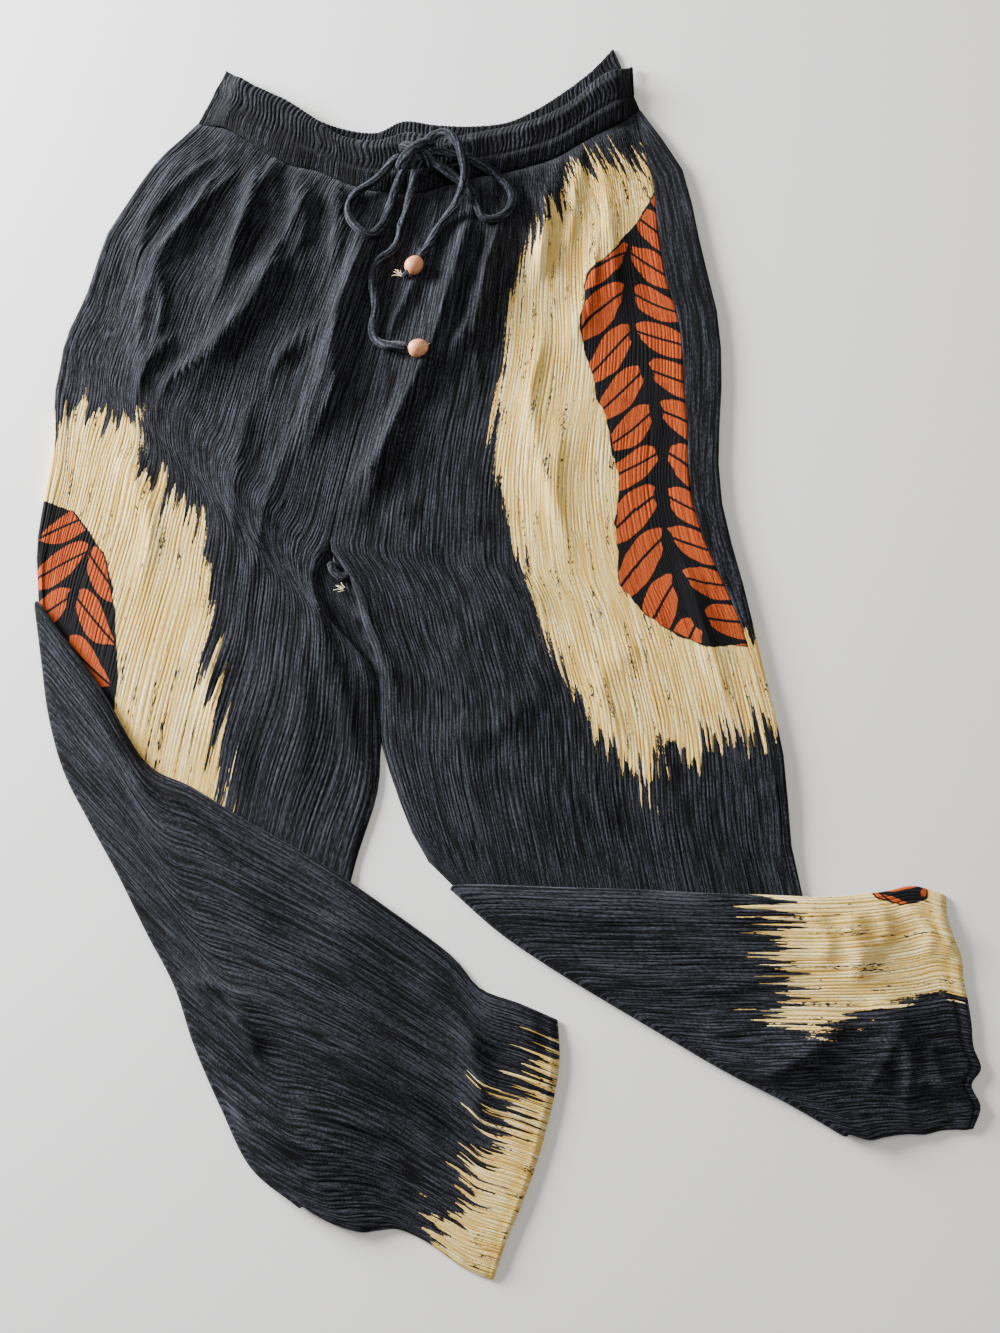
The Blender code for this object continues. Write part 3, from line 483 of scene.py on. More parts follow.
# Middle surface of a front panel from the strip's seam to the centre seam or inseam. lines
# counts its crinkle ridges, and width is the panel's in millimetres.
def frontPanel(leg, lines, width):
    rows, run = thighRows(leg, clothDetail["rows"])
    parts = []
    for kind, value, row, length, slant, strip, alongRun in leg.sections(
            rows, run, np.linspace(30.0, 150.0, 5), np.linspace(0.0, 0.993, 9)[1:], False):
        edge = strip + layers["seamGap"] * slant * (1.0 if kind == "thigh" else 2.0)
        levelTo = edge + layers["edgeFlat"] * slant
        inset = layers["seamGap"] / 2 if kind == "thigh" else layers["tuck"]
        steps = np.linspace(0.0, 1.0, clothDetail["columns"])[None, :]
        u = (edge[:, None] + (length - inset - edge)[:, None] * steps) / length[:, None]
        if kind == "lower":
            plan = leg.lowerPlan(value, u, False)
            z = 2 * leg.turnHeight(plan[..., 0], plan[..., 1]) - layers["frontZ"]
        else:
            plan = leg.thighPlan(row, u, False)
            z = layers["frontZ"] + thighLift(leg, row, plan, u, length[:, None],
                                             levelTo[:, None])
        shown = leg.uncovered(plan[..., 0], plan[..., 1]) * (kind == "thigh")
        if kind == "turn":
            plan, z = leg.roundCrease(plan, z, value)
        parts.append((plan, z, u, shown, alongRun[:, None] + np.zeros_like(u)))
    plan, z, u, shown, alongRun, wave, relief = joinRows(parts, lines, leg.seed, 0.35)
    z = z + relief * ease(shown * 2.0)
    span = np.linalg.norm(plan[:, -1] - plan[:, 0], axis=1)[:, None]
    fromStart = (u - u[:, :1]) / (u[:, -1:] - u[:, :1]) * span
    parted = ease((alongRun / run * leg.last - layers["crotchRow"]) / 0.8)
    dip = clothDetail["seamDip"]
    drop = dip + (z - layers["edgeFloor"] - dip) * parted  # past the crotch, down to the floor
    z = z - drop * rimShare(span - fromStart, 3.0 + 3.0 * parted) * (shown > 0)
    z = z - dip * rimShare(fromStart, clothDetail["seamWidth"]) * (shown > 0)
    return np.dstack([plan, z]), {"ridge": wave, "acrossMm": u * width, "alongMm": alongRun}


# Middle surface of a back panel: the strip on the front, the rolled edge, the flat back,
# the crease and the folded leg's upper layer.
def backPanel(leg, lines, width):
    rows, run = thighRows(leg, clothDetail["backRows"])
    stripColumns, rollColumns = clothDetail["stripColumns"], clothDetail["rollColumns"]
    skinFrom = stripColumns + rollColumns - 1
    steps = np.linspace(0.0, 1.0, clothDetail["columns"] - skinFrom)[1:]
    parts = []
    for kind, value, row, length, slant, strip, alongRun in leg.sections(
            rows, run, np.linspace(15.0, 165.0, clothDetail["turnRows"]),
            np.linspace(0.0, 1.0, clothDetail["lowerRows"] + 1)[1:], True):
        top = layers["frontZ"] + (0.0 if kind == "lower" else 1.0) * leg.edgeLift(row)
        radius = (top - layers["backZ"]) / 2.0
        turns = np.radians(np.linspace(0.0, 180.0, rollColumns))
        roll = (radius * slant)[:, None] * (1.0 - np.sin(turns))
        stripSteps = np.linspace(0.0, 1.0, stripColumns, endpoint=False)
        inward = strip[:, None] + ((radius * slant) - strip)[:, None] * stripSteps
        level = np.concatenate([np.tile(top[:, None], (1, stripColumns)),
                                (top + layers["backZ"])[:, None] / 2.0
                                + radius[:, None] * np.cos(turns),
                                np.full((len(value), len(steps)), layers["backZ"])], axis=1)
        start = radius * slant / length
        flat = start[:, None] + (1.0 - start)[:, None] * steps
        u = np.concatenate([inward / length[:, None], roll / length[:, None], flat], axis=1)
        column = np.arange(u.shape[1])
        if kind == "lower":
            plan = leg.lowerPlan(value, u, True)
            x, y = plan[..., 0], plan[..., 1]
            lift = layers["lowerLift"] + foldHeight(lowerFolds, x, y)
            sides = (ease(u * length[:, None] / clothDetail["seamEase"])
                     * ease((1.0 - u) * length[:, None] / clothDetail["seamEase"]))
            lift = lift * sides * ease(value / 0.12)[:, None]
            z = 2 * leg.turnHeight(x, y) - level + np.where(column >= skinFrom, lift, 0.0)
            shown = np.where(column >= skinFrom, ease(value / 0.05)[:, None], 0.0)
        else:
            plan, z = leg.thighPlan(row, u, True), level
            shown = (leg.uncovered(plan[..., 0], plan[..., 1])
                     * (column <= stripColumns) * (kind == "thigh"))
        if kind == "turn":
            plan, z = leg.roundCrease(plan, z, value)
        parts.append((plan, z, u, shown, alongRun[:, None] + np.zeros_like(u)))
    plan, z, u, shown, alongRun, wave, relief = joinRows(parts, lines, leg.seed + 20, 0.2)
    z = z + relief * shown
    low = (np.arange(len(plan)) >= len(rows) + clothDetail["turnRows"])[:, None]
    span = np.linalg.norm(plan[:, -1] - plan[:, skinFrom], axis=1)[:, None]
    look = clothDetail
    z = z - look["edgeDrop"] * rimShare((1.0 - u) * span, look["edgeWidth"]) * low * shown
    toHem = run + leg.lowerLength - alongRun
    hemLine = np.exp(-((toHem - look["hemDepth"]) / look["hemWidth"]) ** 2)
    hemRim = look["hemRim"] * rimShare(toHem, look["hemRimWidth"])
    z = z - (look["hemDip"] * hemLine + hemRim) * low * shown
    # Lowering the ridge value here also deepens the painted shade along the stitched hem line.
    wave = wave * (1.0 - look["hemFlattening"] * hemLine * low)
    return np.dstack([plan, z]), {"ridge": wave, "acrossMm": u * width, "alongMm": alongRun}


# Lower edge of a waistband half, just clear of the leg panels' own top edges.
def footLine(rightRow, leftRow, shares):
    line = np.concatenate([rightRow, leftRow[::-1]])
    line = line[np.argsort(line[:, 0])]
    x = line[0, 0] + (line[-1, 0] - line[0, 0]) * shares
    return np.stack([x, np.interp(x, line[:, 0], line[:, 1]) + 0.9], axis=-1)


bandDetail = dict(width=400.0, depth=50.0, ribs=98, ribHeight=1.5, columns=640, rows=30,
                  endRun=22.0, endLift=3.4, kinkDepth=0.62, kinkWidth=0.05, kinkDip=0.8,
                  sway=0.8, bend=0.42, lean=0.8, finer=2.2, footDrop=2.0, footRadius=3.0)
# Share of the front band's depth, and its height there in millimetres.
frontBandHeights = np.array([(0.0, 9.5), (0.25, 14.5), (0.5, 12.0), (0.75, 13.0), (1.0, 8.5)])


# Gathered waistband half between its lip and its lower seam: ribs that bend like an S and
# kink at the stitched row.
def band(lip, rightRow, leftRow, front):
    shares = np.linspace(0.0, 1.0, bandDetail["columns"] + 1)
    depth = np.linspace(0.0, 1.0, bandDetail["rows"])[:, None]
    foot = footLine(rightRow, leftRow, shares)
    plan = along(lip, shares)[None] * (1.0 - depth[..., None]) + foot[None] * depth[..., None]
    run = np.hypot(*np.gradient(plan, axis=1).transpose(2, 0, 1)).cumsum(axis=1)
    ends = ease(np.minimum(run, run[:, -1:] - run) / bandDetail["endRun"])
    line = shares[None] * bandDetail["ribs"]
    kink = bandDetail["kinkDepth"]
    bend = (bandDetail["bend"] * np.sin(np.pi * 2.0 * depth / kink) * (depth < kink)
            + bandDetail["lean"] * np.abs(depth - kink))
    push = bandDetail["sway"] * valueNoise(line * 0.45, depth * 2.5, 5 if front else 6) + bend
    rib = np.abs(np.sin(np.pi * (line + push))) ** 0.8
    finer = np.abs(np.sin(bandDetail["finer"] * np.pi * (line + 0.6 * push))) ** 0.8
    below = 0.7 * ease((depth - kink) / 0.06)  # finer ribs below the stitched row
    rib = rib * (1 - below) + below * finer
    rib = rib * (0.72 + 0.28 * valueNoise(line * 0.4, depth * 2.0, 8))
    z = layers["backZ"] + np.zeros_like(line + depth)
    if front:
        height = np.interp(depth, frontBandHeights[:, 0], frontBandHeights[:, 1])
        low = layers["backZ"] + bandDetail["endLift"]
        stitched = np.exp(-((depth - kink) / bandDetail["kinkWidth"]) ** 2)
        z = low + (height - low) * ends - bandDetail["kinkDip"] * stitched
        z = z - bandDetail["footDrop"] * rimShare(depth * bandDetail["depth"],
                                                  bandDetail["footRadius"])
        rib = rib * (1.0 - 0.6 * stitched) * (0.4 + 0.6 * ease((1 - depth) / 0.08))
    z = z + bandDetail["ribHeight"] * rib
    # The rib height is also the ridge value that sets the painted highlight on the ribs and the
    # painted shade between them.
    return np.dstack([plan, z]), {
        "ridge": 0.15 + 0.9 * rib,
        "acrossMm": bandDetail["width"] * np.broadcast_to(shares, z.shape),
        "alongMm": bandDetail["depth"] * depth + np.zeros_like(z)}


# Adds a mesh in metres with its faces turned outwards, attaches it to the root body, and hides its
# CAD nodes.
def addPiece(name, points, faces, nodes, attributes):
    a, b, c = points[faces[:, 0]], points[faces[:, 1]], points[faces[:, 2]]
    volume = (a * np.cross(b, c)).sum()
    if faces.shape[1] == 4:
        volume += (a * np.cross(c, points[faces[:, 3]])).sum()
    if volume < 0:
        faces = faces[:, ::-1]
    mesh = bpy.data.meshes.new(name)
    mesh.from_pydata(points.tolist(), [], faces.tolist())
    mesh.polygons.foreach_set("use_smooth", [True] * len(mesh.polygons))
    for key, values in attributes.items():
        layer = mesh.attributes.new(key, "FLOAT", "POINT")
        layer.data.foreach_set("value", np.ascontiguousarray(values, dtype=np.float32).ravel())
    mesh.update()
    piece = bpy.data.objects.new(name, mesh)
    bpy.context.scene.collection.objects.link(piece)
    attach(piece, "root")
    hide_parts(*nodes)
    return piece


# Closed wall about a grid of middle points in millimetres: half the wall along each side
# of the normal, joined all round the rim.
def shell(name, grid, attributes, slotName, nodes):
    rows, columns = grid.shape[:2]
    normal = np.cross(np.gradient(grid, axis=1), np.gradient(grid, axis=0))
    normal /= np.linalg.norm(normal, axis=-1, keepdims=True)
    half = rows * columns
    points = np.concatenate([(grid + normal * layers["wall"] / 2).reshape(-1, 3),
                             (grid - normal * layers["wall"] / 2).reshape(-1, 3)])
    points[:, :2] -= centre
    k = np.arange(half).reshape(rows, columns)
    quads = np.stack([k[:-1, :-1], k[:-1, 1:], k[1:, 1:], k[1:, :-1]], axis=-1).reshape(-1, 4)
    rim = np.concatenate([k[0, :-1], k[:-1, -1], k[-1, :0:-1], k[:0:-1, 0]])
    after = np.roll(rim, -1)
    faces = np.concatenate([quads, half + quads[:, ::-1],
                            np.stack([after, rim, half + rim, half + after], axis=1)])
    both = {key: np.tile(np.asarray(v).ravel(), 2) for key, v in attributes.items()}
    return addPiece(name, points * mm, faces, nodes, both)


printShapes = {
    "creamRight": [(-420, 222), (-371, 214), (-350, 226), (-330, 213), (-305, 214), (-290, 176),
                   (-270, 141), (-246, 124), (-235, 78), (-232, 22), (-224, -30), (-218, -84),
                   (-214, -170), (-420, -170)],
    "creamLeft": [(62, 452), (96, 466), (134, 462), (215, 470), (300, 380), (300, -52),
                  (206, -50), (186, -58), (168, -62), (150, -74), (132, -76), (112, -98),
                  (94, -72), (72, -46), (44, 4), (28, 52), (6, 108), (-2, 160), (-6, 226),
                  (2, 262), (8, 312), (18, 362), (36, 398), (54, 418)],
    "stripLeft": [(190, 26), (300, 26), (300, -50), (190, -50)],
    "patchRight": [(-420, 150), (-352, 132), (-322, 92), (-311, 46), (-305, -14), (-308, -44),
                   (-330, -62), (-420, -70)],
    "patchLeft": [(126, 412), (102, 376), (74, 348), (68, 300), (78, 248), (92, 200), (98, 152),
                  (94, 112), (96, 66), (122, 36), (160, 16), (206, 14), (260, 20), (260, 420),
                  (140, 440)],
    "hemRight": [(36, -302), (16, -326), (-2, -354), (-20, -384), (-40, -414), (-62, -441),
                 (-10, -470), (80, -420), (80, -290)],
    "hemLeft": [(198, -180), (204, -206), (210, -232), (216, -250), (204, -276), (232, -284),
                (268, -270), (304, -260), (370, -252), (380, -170), (200, -160)],
    "hemPatchLeft": [(280, -170), (286, -184), (306, -190), (326, -184), (330, -170)]}
stems = {"right": [(-318, 150), (-336, 100), (-348, 40), (-352, -20), (-346, -80)],
         "left": [(120, 430), (112, 370), (112, 310), (126, 250), (136, 190), (134, 130),
                  (146, 70), (176, 10)],
         "hemLeft": [(270, -176), (300, -181), (340, -186)]}


# Distance to a closed outline in millimetres, positive inside it.
def signedDistance(x, y, outline):
    corners = np.array(outline, float)
    best, inside = np.full(x.shape, 1e9), np.zeros(x.shape, bool)
    for (ax, ay), (bx, by) in zip(corners, np.roll(corners, -1, axis=0)):
        dx, dy = bx - ax, by - ay
        s = np.clip(((x - ax) * dx + (y - ay) * dy) / (dx * dx + dy * dy), 0, 1)
        best = np.minimum(best, np.hypot(x - ax - s * dx, y - ay - s * dy))
        inside ^= ((ay > y) != (by > y)) & (x < dx * (y - ay) / (dy + 1e-9) + ax)
    return np.where(inside, best, -best)


# Length along a stem at its nearest point, and distance across it as a share of reach.
def stemPlace(x, y, stem, reach):
    points = along(np.array(stem, float), np.linspace(0, 1, 60))
    tangent = np.gradient(points, axis=0)
    tangent /= np.hypot(*tangent.T)[:, None]
    run = np.concatenate([[0.0], np.hypot(*np.diff(points, axis=0).T).cumsum()])
    offset = np.stack([x[..., None] - points[:, 0], y[..., None] - points[:, 1]], axis=-1)
    k = np.hypot(offset[..., 0], offset[..., 1]).argmin(axis=-1)
    near = np.take_along_axis(offset, k[..., None, None], axis=-2)[..., 0, :]
    t = tangent[k]
    s = run[k] + (near * t).sum(axis=-1)
    side = (near[..., 0] * t[..., 1] - near[..., 1] * t[..., 0]) / reach
    return s, side


# Adds the fields that the print is drawn from, for each zone of rows: first row, cream shape,
# rust patch, stem and the stem's reach. brush is the length of a brush stroke.
def printFields(grid, data, brush, zones):
    found = {key: [] for key in ("cream", "patch", "stemRun", "stemSide")}
    ends = [zone[0] for zone in zones[1:]] + [len(grid)]
    for (start, cream, patch, stem, reach), end in zip(zones, ends):
        x, y = grid[start:end, :, 0], grid[start:end, :, 1]
        found["cream"].append(signedDistance(x, y, printShapes[cream]))
        found["patch"].append(signedDistance(x, y, printShapes[patch]) if patch
                              else np.full(x.shape, -50.0))
        run, side = stemPlace(x, y, stems[stem], reach)
        found["stemRun"].append(run)
        found["stemSide"].append(side)
    data.update({key: np.concatenate(value) for key, value in found.items()})
    step = np.gradient(data["alongMm"], axis=0)
    slope = np.abs(np.gradient(data["cream"], axis=0)) / np.maximum(np.abs(step), 0.5)
    data["creamReach"] = 4.0 + brush * np.clip(slope, 0, 1)


# Crinkle ridges and width of each panel in millimetres, then the length of its brush strokes
# and its print's zones.
onLower = clothDetail["backRows"]
panels = {
    "leg_front_right": (frontPanel(right, 104, 330.0), 46.0,
                        [(0, "creamRight", "patchRight", "right", 44.0)]),
    "leg_front_left": (frontPanel(left, 102, 340.0), 46.0,
                       [(0, "creamLeft", "patchLeft", "left", 58.0)]),
    "leg_back_right": (backPanel(right, 78, 230.0), 62.0,
                       [(0, "creamRight", "patchRight", "right", 44.0),
                        (onLower, "hemRight", None, "right", 44.0)]),
    "leg_back_left": (backPanel(left, 68, 200.0), 42.0,
                      [(0, "stripLeft", None, "left", 58.0),
                       (onLower, "hemLeft", "hemPatchLeft", "hemLeft", 24.0)])}
cloth = {}
for name, ((grid, data), brush, zones) in panels.items():
    printFields(grid, data, brush, zones)
    cloth[name] = grid, data
topRow = {name: grid[0, 20 * ("back" in name):, :2] for name, (grid, data) in cloth.items()}
cloth["band_front"] = band(frontLip, topRow["leg_front_right"], topRow["leg_front_left"], True)
cloth["band_back"] = band(backLip, topRow["leg_back_right"], topRow["leg_back_left"], False)

# Each sheet's CAD node, how it is held, what it rests on, and its whole cut: width and length
# in metres and area in square metres.
sheets = {
    "leg_front_right": ("front_leg_right", "folded", "leg_back_right", (0.33, 1.02), 0.27),
    "leg_front_left": ("front_leg_left", "folded", "leg_back_left", (0.33, 1.02), 0.27),
    "leg_back_right": ("back_leg_right", "folded", "floor", (0.34, 1.03), 0.285),
    "leg_back_left": ("back_leg_left", "folded", "floor", (0.37, 1.03), 0.295),
    "band_front": ("waistband_front", "gathered", "band_back", (0.55, 0.05), 0.0275),
    "band_back": ("waistband_back", "gathered", "floor", (0.58, 0.05), 0.029)}
clothPieces = {
    name: shell(name, *cloth[name], "gathered_crepe" if "band" in name else "crinkled_crepe",
                [facts[0]]) for name, facts in sheets.items()}
print("stage: cloth")

cordDetail = dict(diameter=7.8, stated=6.6, spacing=1.3, spacedFor=5.8, around=40,
                  flatness=0.8, creases=6.0, creaseDepth=0.27, lumps=0.09, twist=42.0)


# Evenly spaced points of the smooth curve through a route's points.
def evenRoute(route, spacing):
    table = np.array(route, float)
    curve = through(table, np.linspace(0.0, len(table) - 1.0, 60 * len(table)))
    run = np.concatenate([[0.0], np.linalg.norm(np.diff(curve, axis=0), axis=1).cumsum()])
    even = np.linspace(0.0, run[-1], max(6, int(round(run[-1] / spacing)) + 1))
    return np.stack([np.interp(even, run, curve[:, k]) for k in range(3)], axis=1), run[-1]


# Creased cloth tube: an ellipse swept in a level frame, its radius cut by lengthwise
# creases and changed by slow lumps, rounded over the last blunt radii of each end.
def tube(route, diameter, seed, flatness=None, blunt=0.8, around=None):
    points, length = evenRoute(route, cordDetail["spacing"]
                               * max(diameter / cordDetail["spacedFor"], 0.3))
    tangent = np.gradient(points, axis=0)
    tangent /= np.linalg.norm(tangent, axis=1, keepdims=True)
    side = np.cross(tangent, [0.0, 0.0, 1.0])
    side /= np.maximum(np.linalg.norm(side, axis=1, keepdims=True), 1e-6)
    up = np.cross(side, tangent)
    around = around or cordDetail["around"]
    phi = np.arange(around) * 2 * np.pi / around - np.pi / 2
    run = np.linspace(0.0, length, len(points))
    line = (cordDetail["creases"] * (phi + np.pi / 2) / (2 * np.pi)
            + run[:, None] / cordDetail["twist"])
    wave = crinkle(line, run[:, None], seed, 22.0)
    lump = valueNoise(run[:, None] / 9.0, phi * 0.6, seed + 5)
    radius = diameter / 2 * (0.95 + cordDetail["creaseDepth"] * (wave - 0.7)
                             + cordDetail["lumps"] * lump)
    fromEnd = np.minimum(run, length - run) / (diameter / 2 * blunt)
    radius = radius * np.sqrt(1.0 - 0.93 * np.clip(1.0 - fromEnd, 0, 1) ** 2)[:, None]
    flat = cordDetail["flatness"] if flatness is None else flatness
    ring = (points[:, None] + side[:, None] * (radius * np.cos(phi))[..., None]
            + up[:, None] * (flat * radius * np.sin(phi))[..., None])
    cloud, triangles = closedRings(ring, points[0], points[-1])
    pad = np.zeros(2)
    data = {"ridge": np.concatenate([wave.ravel(), pad + 0.5]),
            "acrossMm": np.concatenate([(line * 2.2).ravel(), pad]),
            "alongMm": np.concatenate([np.broadcast_to(run[:, None], wave.shape).ravel(), pad])}
    return cloud, triangles, data, points, length


# Triangles over rings of points, closed by a point at each end.
def closedRings(ring, start, end):
    rows, columns = ring.shape[:2]
    k = np.arange(rows * columns).reshape(rows, columns)
    nextK = np.roll(k, -1, axis=1)
    quads = np.stack([k[:-1], nextK[:-1], nextK[1:], k[1:]], axis=-1).reshape(-1, 4)
    first, final = np.full(columns, rows * columns), np.full(columns, rows * columns + 1)
    triangles = np.concatenate([quads[:, [0, 1, 2]], quads[:, [0, 2, 3]],
                                np.stack([nextK[0], k[0], first], 1),
                                np.stack([k[-1], nextK[-1], final], 1)])
    return np.concatenate([ring.reshape(-1, 3), [start], [end]]), triangles


# Table millimetres to the row frame's metres.
def inFrame(cloud):
    moved = np.array(cloud, float)
    moved[:, :2] -= centre
    return moved * mm


# Adds one piece made of closed tubes.
def addTubes(name, tubes, nodes=()):
    start = np.cumsum([0] + [len(t[0]) for t in tubes[:-1]])
    cloud = np.concatenate([t[0] for t in tubes])
    triangles = np.concatenate([t[1] + n for t, n in zip(tubes, start)])
    data = {key: np.concatenate([t[2][key] for t in tubes]) for key in tubes[0][2]}
    return addPiece(name, inFrame(cloud), triangles, nodes, data)


for seed, (node, route) in enumerate(routes.items()):
    swept = tube(route, cordDetail["diameter"], 91 + 7 * seed)
    name = node.replace("drawstring", "cord")
    addTubes(name, [swept], [node])
    inFrame(swept[3])

knotWraps = [
    ([(-88, 445, 19), (-85, 450, 26), (-78, 457, 31), (-69, 463, 31.5), (-62, 468, 27),
      (-60, 471, 21)], 10.0),
    ([(-60, 447, 20), (-62, 452, 26), (-68, 457, 28), (-77, 462, 28.5), (-84, 466, 25),
      (-87, 468, 19)], 8.5),
    ([(-80, 447, 19), (-76, 452, 25), (-70, 455, 26.5), (-63, 459, 24), (-59, 462, 20)], 7.5),
    ([(-84, 456, 20), (-76, 460, 22), (-68, 461, 22), (-62, 462, 20)], 13.0)]
knot = addTubes("knot", [tube(route, diameter, 171 + 9 * k)
                         for k, (route, diameter) in enumerate(knotWraps)],
                ["drawstring_knot"])

beadDetail = dict(around=56, steps=44, holeRadius=1.9, holeDepth=2.6, holeLip=0.2,
                  holeLead=0.15, holeFlare=1.1, taper=0.10)


# Turned egg with a hole at both ends: radius sin(angle) (1 + taper cos(angle)) about the
# long axis, cut off at the hole's radius and led into it.
def bead(name, middle, radii, turn, nodes):
    angle = np.linspace(0.0, np.pi, beadDetail["steps"] + 2)[1:-1]
    x = -radii[0] * np.cos(angle)
    r = radii[1] * np.sin(angle) * (1.0 + beadDetail["taper"] * np.cos(angle))
    keep = r > beadDetail["holeRadius"] * 1.25
    x, r = x[keep], r[keep]
    hole, depth = beadDetail["holeRadius"], beadDetail["holeDepth"]
    lip, lead, flare = (beadDetail[key] for key in ("holeLip", "holeLead", "holeFlare"))
    x = np.concatenate([[x[0] + depth, x[0] + lip, x[0] - lead], x,
                        [x[-1] + lead, x[-1] - lip, x[-1] - depth]])
    r = np.concatenate([[hole, hole, hole * flare], r, [hole * flare, hole, hole]])
    phi = np.arange(beadDetail["around"]) * 2 * np.pi / beadDetail["around"]
    ring = np.stack([x[:, None] + 0.0 * phi, r[:, None] * np.cos(phi), r[:, None] * np.sin(phi)],
                    axis=-1)
    cloud, triangles = closedRings(ring, (x[0], 0, 0), (x[-1], 0, 0))
    bend = np.radians(turn)
    spot = np.stack([cloud[:, 0] * np.cos(bend) - cloud[:, 1] * np.sin(bend) + middle[0],
                     cloud[:, 0] * np.sin(bend) + cloud[:, 1] * np.cos(bend) + middle[1],
                     cloud[:, 2] + middle[2]], axis=1)
    grain = {"grainX": cloud[:, 0], "grainY": cloud[:, 1], "grainZ": cloud[:, 2]}
    return addPiece(name, inFrame(spot), triangles, nodes, grain)


beadRight = bead("bead_tail_right", (-69, 274, 17.0), (8.9, 7.5), 18.0, ["bead_right"])
beadLeft = bead("bead_tail_left", (-74, 355, 14.0), (8.9, 7.6), 48.0, ["bead_left"])

threadDetail = dict(diameter=0.7, cordThreads=7, beadThreads=4, crotchThreads=6, fan=0.6,
                    curl=0.35, scatter=1.5, sag=0.8)
random = np.random.default_rng(29)


# Loose thread ends: short curved tubes that fan out from one spot.
def threads(name, start, heading, length, count):
    made = []
    fan, curl, scatter = (threadDetail[key] for key in ("fan", "curl", "scatter"))
    steps = np.linspace(0, 1, 5)
    for k in range(count):
        turn = heading + random.uniform(-fan, fan)
        reach = length * random.uniform(0.6, 1.1)
        bow = random.uniform(-curl, curl)
        x = start[0] + random.uniform(-scatter, scatter)
        x = x + reach * steps * np.cos(turn + bow * steps)
        y = start[1] + random.uniform(-scatter, scatter)
        y = y + reach * steps * np.sin(turn + bow * steps)
        z = start[2] + random.uniform(-0.4, 0.6) - threadDetail["sag"] * steps
        made.append(tube(np.stack([x, y, z], axis=1), threadDetail["diameter"], 300 + k, 1.0,
                         around=8))
    return addTubes(name, made)


stub = addTubes("cord_stub", [tube([(-78.5, 350.5, 13.0), (-81.5, 347.5, 12.2),
                                    (-84.5, 345.5, 11.2)], 4.6, 421)])
cordFray = threads("frayed_cord_end", (-84.5, 346.5, 11.6), 2.6, 8.0,
                   threadDetail["cordThreads"])
beadFray = threads("frayed_bead_end", (-61.5, 277.0, 16.5), 0.7, 3.5,
                   threadDetail["beadThreads"])
threads("loose_crotch_threads", (-127, 64, 4.4), 2.9, 9.0, threadDetail["crotchThreads"])
crotchRoll = tube([(-139, 88, 3.2), (-135, 79, 4.4), (-128, 74, 4.6), (-121, 78, 4.2),
                   (-119, 70, 3.4)], 7.0, 411, 0.6)
addTubes("crotch_inner_fold", [crotchRoll])

# The loops run back into the bow's knot, and each tail ends in its bead.
print("stage: drawstring")


# sRGB hex colour to linear values.
def linear(hexColour):
    value = np.array([int(hexColour[k:k + 2], 16) for k in (1, 3, 5)]) / 255.0
    value = np.where(value <= 0.04045, value / 12.92, ((value + 0.055) / 1.055) ** 2.4)
    return (*value, 1.0)


# One shader node with its settings and links, and one of its outputs in return. values holds
# a number, a colour or another node's output for each input, in order or by the input's name.
def add(tree, kind, values=(), out=0, **settings):
    made = tree.nodes.new("ShaderNode" + kind)
    for key, value in settings.items():
        setattr(made, key, value)
    for socket, value in values.items() if isinstance(values, dict) else enumerate(values):
        if isinstance(value, bpy.types.NodeSocket):
            tree.links.new(value, made.inputs[socket])
        else:
            made.inputs[socket].default_value = value
    return made.outputs[out]


# A new material and the tree that its nodes are added to.
def newMaterial(name):
    shade = bpy.data.materials.new(name)
    shade.use_nodes = True
    return shade, shade.node_tree


# Ties a colour and a relief in metres to the surface, and sets its uniform values.
def finishMaterial(shade, colour, height, depth, values):
    tree = shade.node_tree
    surface = tree.nodes["Principled BSDF"]
    tree.links.new(colour, surface.inputs["Base Color"])
    tree.links.new(add(tree, "Bump", {"Strength": 1.0, "Distance": depth, "Height": height}),
                   surface.inputs["Normal"])
    for socket, value in values.items():
        surface.inputs[socket].default_value = value
    return shade


# Viscose crepe, black dyed and heat-set in crinkles: matt, with a faint cool sheen, a painted cool
# highlight on the ridges and painted near-black shade in the grooves, so the cloth reads as soft
# and dry.
crepeLook = dict(grooveShadePaint="#020203", clothDye="#0d0d0f", ridgeHighlightPaint="#3d4049",
                 creamPaint="#dcb55c", paleAndLitPaint="#f4e6ae", ochrePaint="#cca551",
                 bareAndShadedGroove="#20222a", rustPaint="#8a3312", rustHighlightPaint="#aa4c20", inkAndGrooveShade="#0c0b0d",
                 leafPitch=38.0, leafSlant=40.0, grainDepth=0.00056)
crepeSurface = {"Roughness": 0.9, "Specular IOR Level": 0.12, "Sheen Weight": 0.12,
                "Sheen Roughness": 0.5, "Sheen Tint": linear("#b0b2ba")}
crepeFields = ("ridge", "acrossMm", "alongMm")
# Noises stretched along the grain: width and length in millimetres, seed and detail.
crepeNoise = dict(fine=(1.3, 26.0, 1.0, 3.0),    # yarn crinkles, 0.5 mm, drawn coarser to show
                  pebble=(1.0, 2.4, 8.0, 1.0),   # crepe's pebbled face, 0.4 mm, drawn coarser
                  wide=(60.0, 260.0, 2.0, 2.0),  # slow change of dye and wear
                  groove=(2.1, 80.0, 9.0, 2.0))  # deepest crinkle grooves, darkened with painted shade, as wide as real
wovenSize = 0.77    # crossing threads, 0.4 mm apart, drawn coarser to show
